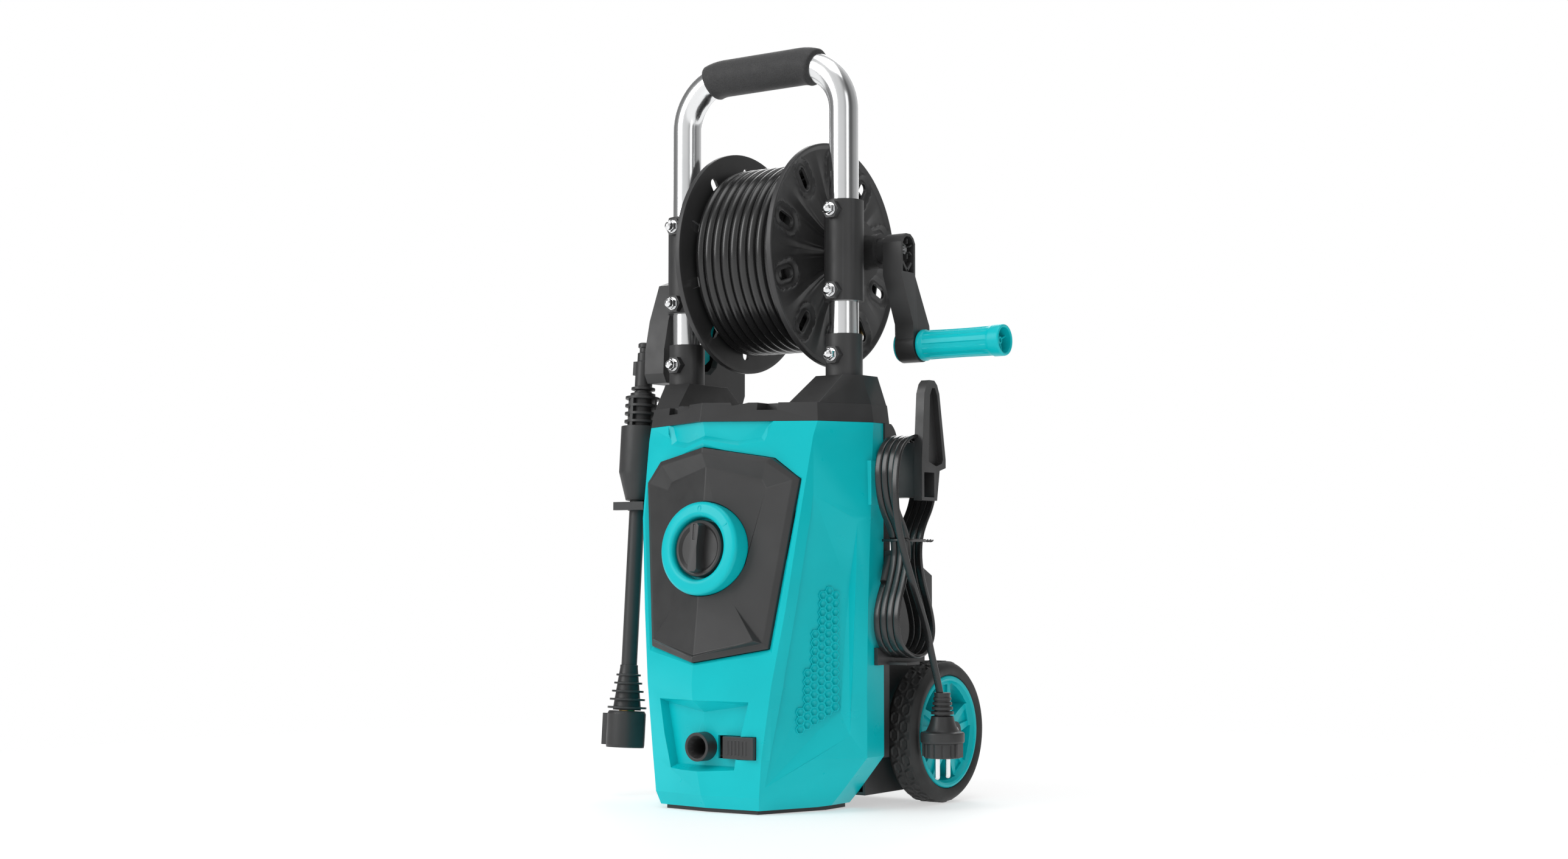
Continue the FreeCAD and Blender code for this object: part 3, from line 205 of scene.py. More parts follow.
def piece(work, name, body, slot, replaces=(), bevel=0.0, angle=30, segments=2, even=True):
    """Makes a mesh piece from millimetres, which rides on a CAD body."""
    bmesh.ops.recalc_face_normals(work, faces=work.faces)
    work.transform(Matrix.Scale(MM, 4))
    mesh = bpy.data.meshes.new(name)
    work.to_mesh(mesh)
    work.free()
    mesh.polygons.foreach_set("use_smooth", [True] * len(mesh.polygons))
    thing = new_object(name, mesh)
    mesh.materials.append(MATERIALS[slot])
    if bevel:
        soften(thing, bevel, angle, segments)
    elif even:
        thing.modifiers.new("Normals", "WEIGHTED_NORMAL")
    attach(thing, body)
    if replaces:
        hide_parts(*replaces)
    return thing


def swept(points, section, side=Vector((1, 0, 0)), scales=None, caps=True):
    """A section of (across, out) points carried along a line, with 'across' kept towards a side."""
    points = [Vector(point) for point in points]
    rings = []
    for index, point in enumerate(points):
        before = points[max(index - 1, 0)]
        after = points[min(index + 1, len(points) - 1)]
        along = (after - before).normalized()
        across = (side - along * side.dot(along)).normalized()
        out = along.cross(across)
        scale = scales[index] if scales else 1
        rings.append([point + (across * a + out * b) * scale for a, b in section])
    return ring_mesh(rings, caps=caps)


def circle(radius, steps):
    angles = [FULL_TURN * index / steps for index in range(steps)]
    return [(radius * math.cos(angle), radius * math.sin(angle)) for angle in angles]


def mirrored(points):
    """A closed loop from its right half, which starts or ends on the mid-plane."""
    return list(points) + [(-x, y, z) for x, y, z in reversed(points) if x > 0]


# ---------------------------------------------------------------- materials
def graph(name):
    material = bpy.data.materials.new(name)
    material.use_nodes = True
    tree = material.node_tree
    shader = tree.nodes["Principled BSDF"]
    place = tree.nodes.new("ShaderNodeTexCoord")
    return material, tree, shader, place.outputs["Object"]


def noise(tree, vector, scale, detail=3, stretch=None):
    """A noise pattern in the frame's metres, which may be stretched along an axis."""
    if stretch:
        mapping = tree.nodes.new("ShaderNodeMapping")
        mapping.inputs["Scale"].default_value = stretch
        tree.links.new(vector, mapping.inputs["Vector"])
        vector = mapping.outputs["Vector"]
    node = tree.nodes.new("ShaderNodeTexNoise")
    node.inputs["Scale"].default_value = scale
    node.inputs["Detail"].default_value = detail
    tree.links.new(vector, node.inputs["Vector"])
    return node.outputs["Fac"]


def cells(tree, vector, scale):
    node = tree.nodes.new("ShaderNodeTexVoronoi")
    node.inputs["Scale"].default_value = scale
    tree.links.new(vector, node.inputs["Vector"])
    return node.outputs["Distance"]


def spread(tree, value, low, high, start=0.3, end=0.7):
    node = tree.nodes.new("ShaderNodeMapRange")
    node.inputs["From Min"].default_value = start
    node.inputs["From Max"].default_value = end
    node.inputs["To Min"].default_value = low
    node.inputs["To Max"].default_value = high
    tree.links.new(value, node.inputs["Value"])
    return node.outputs["Result"]


def blended(tree, value, dark, light):
    node = tree.nodes.new("ShaderNodeValToRGB")
    node.color_ramp.elements[0].position = 0.3
    node.color_ramp.elements[1].position = 0.7
    node.color_ramp.elements[0].color = (*dark, 1)
    node.color_ramp.elements[1].color = (*light, 1)
    tree.links.new(value, node.inputs["Fac"])
    return node.outputs["Color"]


def worn(tree, colour, light, amount):
    """Edges and corners a little lighter, as handling leaves them."""
    shape = tree.nodes.new("ShaderNodeNewGeometry")
    edge = spread(tree, shape.outputs["Pointiness"], 0, amount, 0.53, 0.62)
    mix = tree.nodes.new("ShaderNodeMix")
    mix.data_type = "RGBA"
    mix.inputs["B"].default_value = (*light, 1)
    tree.links.new(edge, mix.inputs["Factor"])
    tree.links.new(colour, mix.inputs["A"])
    return mix.outputs["Result"]


def bumps(tree, shader, layers):
    """Height patterns added one after another, each with its depth in metres."""
    normal = None
    for height, depth in layers:
        node = tree.nodes.new("ShaderNodeBump")
        node.inputs["Distance"].default_value = depth
        tree.links.new(height, node.inputs["Height"])
        if normal:
            tree.links.new(normal, node.inputs["Normal"])
        normal = node.outputs["Normal"]
    tree.links.new(normal, shader.inputs["Normal"])


def surface(
    name, dark, light, gloss, grain, metal=0.0, edge=None, streaks=None, coat=0.0, shine=0.5, waves=0.0001
):
    """A moulded, painted, rubber or metal surface. gloss is its roughness range, grain (scale, depth)."""
    material, tree, shader, place = graph(name)
    shader.inputs["Metallic"].default_value = metal
    shader.inputs["Specular IOR Level"].default_value = shine
    shader.inputs["Coat Weight"].default_value = coat
    shader.inputs["Coat Roughness"].default_value = 0.18
    colour = blended(tree, noise(tree, place, 14, 4), dark, light)
    if edge:
        colour = worn(tree, colour, edge, 0.35)
    tree.links.new(colour, shader.inputs["Base Color"])
    blotches = noise(tree, place, 60, 4, streaks)
    tree.links.new(spread(tree, blotches, *gloss), shader.inputs["Roughness"])
    scale, depth = grain
    fine = noise(tree, place, scale, 2, streaks)
    bumps(tree, shader, [(noise(tree, place, 22, 2), waves), (fine, depth)])
    return material


def foam_surface():
    """Closed-cell foam: dull, with fine pores."""
    material, tree, shader, place = graph("foam")
    shader.inputs["Sheen Weight"].default_value = 0.15
    shader.inputs["Specular IOR Level"].default_value = 0.35
    colour = blended(tree, noise(tree, place, 900, 3), (0.020, 0.020, 0.021), (0.040, 0.040, 0.041))
    tree.links.new(colour, shader.inputs["Base Color"])
    tree.links.new(spread(tree, noise(tree, place, 120, 3), 0.52, 0.68), shader.inputs["Roughness"])
    bumps(tree, shader, [(cells(tree, place, 1400), 0.00012), (noise(tree, place, 2600, 2), 0.00005)])
    return material


MATERIALS = {
    "teal_plastic": surface(
        "teal_plastic", (0.0010, 0.500, 0.545), (0.0014, 0.545, 0.590), (0.27, 0.36), (1500, 0.000006),
        edge=(0.02, 0.62, 0.67), shine=0.22, waves=0.00004,
    ),
    "black_plastic": surface(
        "black_plastic", (0.0230, 0.0230, 0.0234), (0.0330, 0.0330, 0.0335), (0.36, 0.48), (1800, 0.000020),
        edge=(0.075, 0.075, 0.078),
    ),
    "foam": foam_surface(),
    "aluminium_tube": surface(
        "aluminium_tube", (0.80, 0.81, 0.82), (0.90, 0.905, 0.91), (0.15, 0.22), (1500, 0.000004), metal=1.0,
        streaks=(1, 1, 0.04), waves=0.00001,
    ),
    "bright_steel": surface(
        "bright_steel", (0.78, 0.79, 0.80), (0.88, 0.88, 0.89), (0.06, 0.12), (900, 0.000003), metal=1.0,
        waves=0.00001,
    ),
    "steel": surface(
        "steel", (0.42, 0.43, 0.44), (0.58, 0.58, 0.59), (0.28, 0.42), (1200, 0.000008), metal=1.0,
    ),
    "brass": surface(
        "brass", (0.62, 0.42, 0.15), (0.74, 0.52, 0.21), (0.22, 0.34), (1200, 0.000006), metal=1.0,
    ),
    "rubber": surface(
        "rubber", (0.0110, 0.0110, 0.0112), (0.0160, 0.0160, 0.0165), (0.25, 0.29), (1600, 0.000001),
        coat=0.25, waves=0.000006,
    ),
    "tyre": surface(
        "tyre", (0.0170, 0.0170, 0.0172), (0.0300, 0.0298, 0.0295), (0.55, 0.72), (1300, 0.000040),
    ),
    "cast_aluminium": surface(
        "cast_aluminium", (0.48, 0.48, 0.48), (0.60, 0.60, 0.60), (0.42, 0.55), (700, 0.00006), metal=1.0,
    ),
    "wrap": surface("wrap", (0.05, 0.06, 0.12), (0.07, 0.08, 0.16), (0.25, 0.35), (900, 0.00001)),
}


# ---------------------------------------------------------------- cords
def spline_object(name, points):
    """A smooth NURBS line through a route's control points, in millimetres."""
    curve = bpy.data.curves.new(name, "CURVE")
    curve.dimensions = "3D"
    spline = curve.splines.new("NURBS")
    spline.points.add(len(points) - 1)
    for target, point in zip(spline.points, points):
        target.co = (*(Vector(point) * MM), 1)
    spline.order_u = 3
    spline.use_endpoint_u = True
    spline.resolution_u = 6
    return new_object(name, curve)


def line_points(name, route):
    """The points of the route's spline, in millimetres."""
    helper = spline_object(name, route)
    bpy.context.view_layer.update()
    mesh = bpy.data.meshes.new_from_object(helper)
    points = [vertex.co / MM for vertex in mesh.vertices]
    bpy.data.meshes.remove(mesh)
    curve = helper.data
    bpy.data.objects.remove(helper)
    bpy.data.curves.remove(curve)
    return points


# One turn of the mains cable's hank, as (depth, height).
HANK_LOOP = [
    (18, 346), (1, 342), (-11, 331), (-16, 314), (-14, 294), (-7, 276), (5, 262), (12, 248), (12, 230),
    (4, 210), (-5, 192), (-8, 172), (-2, 154), (13, 144), (32, 141), (48, 148), (57, 163), (52, 184),
    (39, 208), (32, 230), (33, 250), (41, 265), (51, 280), (55, 298), (52, 320), (40, 338),
]
CABLE_WIDTH, CABLE_THICKNESS = 7.0, 4.2
GLAND_END = (133.3, 5, 210)
# The free end, which passes in front of the hank and hangs to the plug.
FREE_CABLE = [
    (160.4, -11, 333), (161.4, -18.5, 318), (161.8, -21.5, 298), (162, -20.5, 276), (162.6, -14, 251),
    (163, -2.5, 226), (163.6, 12, 198), (164.5, 27, 171), (165.6, 36, 142), (166.5, 45, 118), (167, 51, 98),
    (167, 52, 88),
]


def mains_route():
    """From the gland down into the hank, four turns side by side, and off to the plug."""
    strands = (133, 140, 147, 154)
    joins_at = 10
    crossing = 4
    route = [GLAND_END]
    for turn, x in enumerate(strands):
        for index, (y, z) in enumerate(HANK_LOOP):
            if turn == 0 and index < joins_at:
                continue
            left = len(HANK_LOOP) - index
            shift = CABLE_WIDTH * max(0, crossing - left + 1) / (crossing + 1)
            route.append((x + shift, y, z))
    route += [(160.2, 19, 346.5), (160.6, 2, 343)]
    return route + FREE_CABLE


def flat_twin(steps=16):
    """Section of a flat twin cable: two cores with a shallow valley each side."""
    half = (CABLE_WIDTH - CABLE_THICKNESS) / 2
    points = []
    for step in range(steps):
        angle = FULL_TURN * (step + 0.5) / steps
        across, out = math.cos(angle), math.sin(angle)
        valley = 0.35 * max(0.0, 1 - abs(across) * 2.2)
        centre = half if across > 0 else -half
        points.append((centre + CABLE_THICKNESS / 2 * across, (CABLE_THICKNESS / 2 - valley) * out))
    return points


def add_mains_cable(tie):
    line = line_points("mains_line", mains_route())
    cable = piece(
        swept(line, flat_twin()), "mains_cable", "chassis", "rubber", ("cord_hank", "power_cord"), even=False
    )


HOSE_SIZE = 10.0
DRUM_RADIUS = 71.5
HOSE_SIDE = 45.0


def reel_point(x, radius, angle):
    """A point beside the reel's axis; the angle is 0 below it and grows towards the back."""
    depth, height = REEL_AXIS
    return (x, depth + radius * math.sin(angle), height - radius * math.cos(angle))


def hose_route():
    """Two layers on the drum, out and back, and a tail that lies on them behind the reel."""
    per_turn = 16
    step = FULL_TURN / per_turn
    swell = 1 / math.cos(step / 2)
    inner, outer, lifted = DRUM_RADIUS + 5.1, DRUM_RADIUS + 15.1, DRUM_RADIUS + 23.8
    tail_end, tail_start, climb = math.radians(50), math.radians(95), math.radians(60)
    last_side = 41.7
    turns_in = 2 * HOSE_SIDE / HOSE_SIZE
    turns_out = (HOSE_SIDE + last_side) / HOSE_SIZE
    inner_steps, outer_steps = round(turns_in * per_turn), round(turns_out * per_turn)
    climb_steps, tail_steps = 4, 3
    total = inner_steps + climb_steps + outer_steps
    angle = tail_start + climb + total * step
    route = []
    for index in range(total + 1):
        if index <= inner_steps:
            x, radius = HOSE_SIDE - HOSE_SIZE * index / per_turn, inner
        elif index <= inner_steps + climb_steps:
            share = (index - inner_steps) / climb_steps
            x, radius = -HOSE_SIDE, inner + (outer - inner) * share
        else:
            x, radius = -HOSE_SIDE + HOSE_SIZE * (index - inner_steps - climb_steps) / per_turn, outer
        route.append(reel_point(x, radius * swell, angle - index * step))
    for share, x in ((0.34, 42.6), (0.67, 42.2), (1, 38.6)):
        radius = outer + (lifted - outer) * share
        route.append(reel_point(x, radius * swell, tail_start + climb * (1 - share)))
    for index in range(1, tail_steps + 1):
        share = index / tail_steps
        angle = tail_start + (tail_end - tail_start) * share
        route.append(reel_point(38, lifted * (1 if share == 1 else swell), angle))
    return route


def add_hose():
    line = line_points("hose_line", hose_route())
    hose = piece(
        swept(line, circle(HOSE_SIZE / 2, 14)), "hose", "reel", "rubber", ("hose_winding",), even=False
    )


def add_plug():
    """A round plug with a flange, fluted sides and a ribbed strain relief."""
    depth = PLUG_AXIS[1]
    flutes = 12

    def fluted(radius, height, angle):
        if 1.2 < height < 13.4 and radius > 15:
            wave = math.cos(flutes * angle)
            return radius - 1.3 * max(0.0, wave) ** 3, height
        return radius, height

    front = [(0, 0), (13, 0), (16.4, 0.3), (17.4, 1.3), (17.5, 3), (17.5, 12.5), (17.3, 13.6), (19.6, 14.2)]
    flange = [(20.3, 15), (20.5, 16.2), (20.5, 22.6), (19.9, 23.8), (18, 24.4), (15.6, 24.9)]
    neck = [(14.2, 27), (12.4, 31), (11.2, 35), (10.4, 38.6), (8.2, 39)]
    relief = []
    for step in range(5):
        base = 39.3 + 4.3 * step
        radius = 10.6 - 0.75 * step
        relief += [(7.4, base), (7.4, base + 1.1), (radius, base + 1.3), (radius, base + 3.8)]
        relief += [(7.4, base + 4.0)]
    end = [(6.6, 60.2), (5.2, 60.6), (0, 60.6)]
    body = turned(front + flange + neck + relief + end, (*PLUG_AXIS, 47.4), (0, 0, 1), 96, shape=fluted)
    ear_places = [PLUG_AXIS[0] + side * 17.2 for side in SIDES]
    ears = [block((x - 2, depth - 5, 48.6), (x + 2, depth + 5, 61.5)) for x in ear_places]
    plug = piece(joined(body, *ears), "mains_plug", "chassis", "black_plastic", ("plug_body",), 0.35, 40)
    half_gap = 9.5
    pins = [
        turned([(0, 0), (1.2, 0.25), (2.1, 1.1), (2.4, 2.4), (2.4, 19.3), (2, 19.6), (2, 26), (0, 26)],
               (PLUG_AXIS[0], depth + side * half_gap, 28.1), (0, 0, 1), 32)
        for side in SIDES
    ]
    return plug, piece(joined(*pins), "mains_pins", "chassis", "bright_steel", ("plug_pins",))


def add_tie():
    """A twist of wire round the hank's waist, with its two ends twisted together."""
    loop = [
        (129.3, 8.5), (133, 7.0), (143.5, 6.7), (154, 7.0), (158, 8.5), (158.6, 14), (158.6, 32),
        (158, 37.5), (154, 39.2), (143.5, 39.4), (133, 39.2), (129.3, 37.5), (128.6, 32), (128.6, 14),
    ]
    height, middle = 249.2, Vector((143.5, 23, 0))
    section = [(-0.6, -1.2), (0.6, -1.2), (0.6, 1.2), (-0.6, 1.2)]
    rings = []
    for x, y in loop:
        away = (Vector((x, y, 0)) - middle).normalized()
        rings.append([Vector((x, y, height)) + Vector((0, 0, 1)) * up + away * out for out, up in section])
    band = ring_mesh(rings, closed=True)
    ends = []
    for phase in (0, math.pi):
        line = [
            (154.2 + 0.9 * math.cos(phase + t * 0.9), 40 + 1.5 * t, height + 0.9 * math.sin(phase + t * 0.9))
            for t in range(12)
        ]
        ends.append(swept(line, circle(0.8, 8)))
    return piece(joined(band, *ends), "cable_twist", "chassis", "rubber", ("cable_tie",), even=False)


plug_piece, pin_piece = add_plug()
add_mains_cable(add_tie())
add_hose()


# ---------------------------------------------------------------- front shell
# Right half of each level: height, ridge, crease and side corner.
FRONT_LEVELS = [
    (4, -91, (56, -86), (86, -14)),
    (16, -98.7, (59, -90), (97, -14)),
    (50, -108, (62, -91), (125, -12)),
    (117, -113, (71, -88), (125, -12)),
    (185, -107, (81, -80), (125, -10)),
    (271, -101, (91, -71), (125, -5)),
    (345, -96.5, (95.5, -56), (125, -1)),
    (358.5, -102, (97, -51), (125, 0)),
]
SEAM_DEPTH = 17
WALL = 3
PANEL_RIM = [
    (0, -98.4, 334.8), (63.5, -79.3, 324.1), (87.9, -67.8, 304.8), (66.6, -87.4, 150.3), (0, -113.7, 137.3),
]
PANEL_MIDDLE = Vector((0, 0, 235))
SIDE_OUT = Vector((0.867, -0.497, 0))


def shell_block(inset=0.0):
    rings = []
    for height, ridge, crease, side in FRONT_LEVELS:
        level = height
        if inset and height == FRONT_LEVELS[0][0]:
            level = height - 5
        if inset and height == FRONT_LEVELS[-1][0]:
            level = height + 5
        back = SEAM_DEPTH + (5 if inset else 0)
        right = [
            (0, ridge + inset, level), (crease[0] - inset, crease[1] + inset, level),
            (side[0] - inset, side[1], level), (side[0] - inset, back, level),
        ]
        rings.append(mirrored(right))
    return ring_mesh(rings)


def widened(x, z, reach):
    """A point of the panel's outline, moved away from the panel's middle."""
    way = (Vector((x, 0, z)) - PANEL_MIDDLE).normalized() * reach
    return x + (way.x if x else 0), z + way.z


def panel_cutter(gap):
    """The way through the shell for the panel, wider by a gap."""
    right = []
    for x, _, z in PANEL_RIM:
        wide_x, wide_z = widened(x, z, gap)
        right.append((wide_x, -150, wide_z))
    return prism(mirrored(right), (0, 120, 0))


def panel_border(width, depth):
    """A chamfer round the panel, from the shell's surface down to the panel's foot."""
    rings = []
    for reach, y_shift in ((width + 4, -16), (width, -0.6), (0.7, depth)):
        right = []
        for x, y, z in PANEL_RIM:
            wide_x, wide_z = widened(x, z, reach)
            right.append((wide_x, y + y_shift, wide_z))
        rings.append(mirrored(right))
    return ring_mesh(rings)


def both_sides(work):
    """A right half and its mirror image, cut into the same triangles."""
    bmesh.ops.triangulate(work, faces=work.faces)
    other = work.copy()
    other.transform(Matrix.Scale(-1, 4, (1, 0, 0)))
    bmesh.ops.reverse_faces(other, faces=other.faces)
    return [work, other]


OVERLAP = -0.4


def recess_cutters(grow=0.0):
    """The hollow round the outlet, with a vee in its upper edge: its two halves."""
    levels = [
        ((-140, 64, 113), (-140, 104), (-140, 40, 31)), ((-112, 58, 110), (-112, 103), (-112, 38.5, 33.5)),
        ((-87, 47, 99), (-94, 91.5), (-89, 34, 43)),
    ]
    rings = []
    for (top_y, top_x, top_z), (middle_y, middle_z), (low_y, low_x, low_z) in levels:
        rings.append([
            (OVERLAP, middle_y + grow, middle_z + grow), (top_x + grow, top_y + grow, top_z + grow),
            (low_x + grow, low_y + grow, low_z - grow), (OVERLAP, low_y - 4 + grow, low_z - grow),
        ])
    return both_sides(ring_mesh(rings))


def hull(points):
    """The tightest closed shape round some points."""
    work = bmesh.new()
    for point in points:
        work.verts.new(point)
    made = bmesh.ops.convex_hull(work, input=work.verts)
    inside = made["geom_interior"] + made["geom_unused"]
    spare = {item for item in inside if isinstance(item, bmesh.types.BMVert)}
    bmesh.ops.delete(work, geom=list(spare), context="VERTS")
    return work


def side_wedge(side, grow=0.0):
    """The arrow-shaped facet pressed into each side of the front, deepest along its rear edge."""
    tip, near, far, low = (97, -58, 291), (118.6, -17, 267), (114.6, -25, 70), (62.8, -86.5, 25)
    flush = [Vector(point) for point in (tip, near, far, low)]
    sunk = [Vector((109.8, -19.2, 203.5)), Vector((104.4, -27.2, 95.4))]
    points = [point + SIDE_OUT * 16 for point in flush]
    points += [point + SIDE_OUT * (0.05 - grow) for point in flush]
    points += [point - SIDE_OUT * grow for point in sunk]
    if grow:
        centre = sum(points, Vector()) / len(points)
        points = [point + (point - centre).normalized() * grow for point in points]
    return hull([Vector((side * point.x, point.y, point.z)) for point in points])


def surface_depth(x, z):
    """Depth of the shell's front surface, between its ridge and crease, at a side distance and height."""
    spans = list(zip(FRONT_LEVELS, FRONT_LEVELS[1:]))
    below, above = next((span for span in spans if z <= span[1][0]), spans[-1])
    share = min((z - below[0]) / (above[0] - below[0]), 1)
    ridge = below[1] + (above[1] - below[1]) * share
    crease = Vector(below[2]).lerp(Vector(above[2]), share)
    return ridge + (crease.y - ridge) * x / crease.x


def top_scoops(shift=0.0):
    """A shallow facet cut in the brow above the panel, open under the deck: its two halves."""
    mouth = [(OVERLAP, 366), (64, 366), (54, 339.7), (30, 336), (OVERLAP, 342.5)]
    floor = [(OVERLAP, 366), (60, 366), (49, 343.5), (29, 340.5), (OVERLAP, 346)]
    rings = []
    for outline, sink in ((mouth, -12), (mouth, -0.05), (floor, 3.2)):
        rings.append([(x, surface_depth(max(x, 0), z) + sink + shift, z - shift) for x, z in outline])
    return both_sides(ring_mesh(rings))


def add_front_shell():
    port = turned([(13.3, 0), (13.3, 60)], (0, -140, PORT_HEIGHT), (0, 1, 0), 64)
    latch = block((14.5, -100, 50), (57.5, -84, 71))
    wedges = [side_wedge(side, WALL) for side in SIDES]
    inner = carved(shell_block(WALL), [*recess_cutters(WALL), *top_scoops(WALL), *wedges])
    pad = block((117.5, -7, 282), (127, 16, 323))
    shell = carved(shell_block(), [pad], "UNION")
    shell = carved(shell, [
        panel_border(8.5, 3.2), *recess_cutters(), *[side_wedge(side) for side in SIDES],
        *top_scoops(), inner, panel_cutter(0.5), port, latch,
    ])
    piece(tidied(shell), "shell_front", "chassis", "teal_plastic", ("front_shell",), 0.9, 12, 3)


add_front_shell()


def shell_tree():
    """The finished front shell, to cast rays on, in millimetres."""
    work = bmesh.new()
    work.from_mesh(bpy.data.objects["shell_front"].data)
    work.transform(Matrix.Scale(1 / MM, 4))
    tree = BVHTree.FromBMesh(work)
    work.free()
    return tree


def hex_cell(cast, shift, z, radius):
    """One cell on the facet: half of its walls all round, with steep sides down to its floor."""
    rings = []
    for size, height in ((1.0, -0.8), (1.0, 1.5), (0.97, 1.65), (0.85, 1.65), (0.82, 1.4), (0.78, 0.05)):
        ring = []
        for corner in range(6):
            angle = FULL_TURN * corner / 6
            point = cast(shift + radius * size * math.cos(angle), z + radius * size * math.sin(angle), height)
            if point is None:
                return None
            ring.append(point)
        rings.append(ring)
    return ring_mesh(rings)


def add_hex_grips():
    """Raised honeycomb on the slanted facets each side of the front."""
    radius = 4.54
    half_pitch = radius * math.sin(math.pi / 3)
    low_z, high_z = 71, 205
    # Edges of the region, as distances along the facet from its middle.
    front_low, front_high, rear_low, rear_high, foot_slope = -25.0, 0.0, 13.5, 17.5, 225
    tree = shell_tree()
    for side in SIDES:
        out = Vector((side * SIDE_OUT.x, SIDE_OUT.y, 0))
        across = Vector((side * -SIDE_OUT.y, SIDE_OUT.x, 0))
        middle = Vector((side * 101, -46, 0))

        def cast(shift, z, height):
            found = tree.ray_cast(middle + across * shift + Vector((0, 0, z)) + out * 60, -out)[0]
            return found + out * height if found else None

        made = []
        for row in range(int((high_z - low_z) / half_pitch)):
            z = low_z + (row + 0.5) * half_pitch
            share = (z - low_z) / (high_z - low_z)
            front = front_low + (front_high - front_low) * share
            rear = rear_low + (rear_high - rear_low) * share
            back = min(rear, front_low + radius + foot_slope * share)
            for column in range(-6, 6):
                shift = radius * (3 * column + (1.5 if row % 2 else 0))
                if front <= shift <= back:
                    made.append(hex_cell(cast, shift, z, radius))
        name = "honeycomb_" + ("right" if side > 0 else "left")
        work = joined(*[cell for cell in made if cell])
        piece(work, name, "chassis", "teal_plastic", even=False)


add_hex_grips()


# ---------------------------------------------------------------- panel and switch
def add_panel():
    """The bent black panel: a bevelled rim, a recessed face and a slanted block at its foot."""
    rim = [Vector(point) for point in PANEL_RIM]
    lip = [Vector(point) for point in (
        (0, -98.6, 329.5), (60.5, -81, 320), (82.5, -71, 303.5), (62.5, -89.6, 155), (0, -113.9, 142.5),
    )]
    face = [Vector(point) for point in (
        (0, -92.3, 317.3), (52.5, -76, 304.8), (57, -76, 297), (36.8, -95.2, 186.1), (0, -105.4, 185),
    )]
    foot = [Vector((58.1, -97.3, 157.6)), Vector((0, -110.8, 144.1))]
    deep = Vector((0, 9, 0))
    work = bmesh.new()
    made = {}

    def corner(point, side):
        key = (round(point.x * side, 3), round(point.y, 3), round(point.z, 3))
        if key not in made:
            made[key] = work.verts.new((point.x * side, point.y, point.z))
        return made[key]

    faces = []
    for i in range(4):
        faces.append([rim[i], rim[i + 1], lip[i + 1], lip[i]])
        faces.append([rim[i] + deep, rim[i + 1] + deep, rim[i + 1], rim[i]])
    faces += [[lip[i], lip[i + 1], face[i + 1], face[i]] for i in range(3)]
    faces += [[face[0], face[1], face[2]], [face[0], face[2], face[3]], [face[0], face[3], face[4]]]
    faces += [[face[4], face[3], foot[0], foot[1]], [face[3], lip[3], foot[0]]]
    faces += [[foot[1], foot[0], lip[3], lip[4]]]
    middle = [rim[0] + deep, rim[4] + deep]
    faces += [[middle[0], rim[1] + deep, rim[2] + deep], [middle[0], rim[2] + deep, rim[3] + deep]]
    faces += [[middle[0], rim[3] + deep, middle[1]]]
    for side in SIDES:
        for points in faces:
            work.faces.new([corner(point, side) for point in points])
    bmesh.ops.recalc_face_normals(work, faces=work.faces)
    well = turned([(43.8, -40), (43.8, 30)], DIAL_CENTRE, dial_axis(), 96)
    work = carved(work, [well])
    piece(tidied(work, 0.05, 0.5), "panel", "chassis", "black_plastic", ("front_panel",), 0.8, 9, 3)


def dial_axis():
    return Vector((0, -math.cos(DIAL_LEAN), math.sin(DIAL_LEAN)))


def on_dial(x, up, out):
    """A point on the dial: across, up its face and out from it."""
    face_up = Vector((0, math.sin(DIAL_LEAN), math.cos(DIAL_LEAN)))
    return DIAL_CENTRE + Vector((x, 0, 0)) + face_up * up + dial_axis() * out


def dial_matrix():
    columns = [on_dial(1, 0, 0) - DIAL_CENTRE, on_dial(0, 1, 0) - DIAL_CENTRE, dial_axis()]
    turn = Matrix([[column[row] for column in columns] for row in range(3)]).to_4x4()
    return Matrix.Translation(DIAL_CENTRE) @ turn


def add_dial():
    """The teal surround, with a generic 0 and 1 raised on it."""
    profile = [
        (28.6, -18), (43.4, -18), (43.4, 3.2), (42.9, 5.2), (41.4, 6.7), (39.4, 7.4), (33.6, 8.0),
        (31.4, 7.8), (29.9, 6.9), (29.0, 5.2), (28.6, 2.6),
    ]
    ring = turned(profile, DIAL_CENTRE, dial_axis(), 128, closed=True)
    web = turned([(5.1, -9), (29.5, -9), (29.5, -6), (5.1, -6)], DIAL_CENTRE, dial_axis(), 64, closed=True)
    marks = []
    radius, rise = 36.4, 7.5
    for degrees, kind in ((0, "zero"), (55, "one")):
        angle = math.radians(degrees)
        centre = Vector((radius * math.sin(angle), radius * math.cos(angle), rise))
        turn = Matrix.Translation(centre) @ Matrix.Rotation(-angle, 4, "Z")
        if kind == "zero":
            turns = [FULL_TURN * index / 32 for index in range(33)]
            oval = [Vector((1.7 * math.cos(t), 2.7 * math.sin(t), 0)) for t in turns]
            mark = swept(oval, circle(0.55, 10), Vector((0, 0, 1)), caps=False)
            bmesh.ops.remove_doubles(mark, verts=mark.verts, dist=0.2)
        else:
            mark = block((-0.6, -2.8, -0.6), (0.6, 2.8, 0.6))
        mark.transform(dial_matrix() @ turn)
        marks.append(mark)
    piece(joined(ring, web, *marks), "dial_surround", "chassis", "teal_plastic", ("dial_ring",), 0.25, 50)


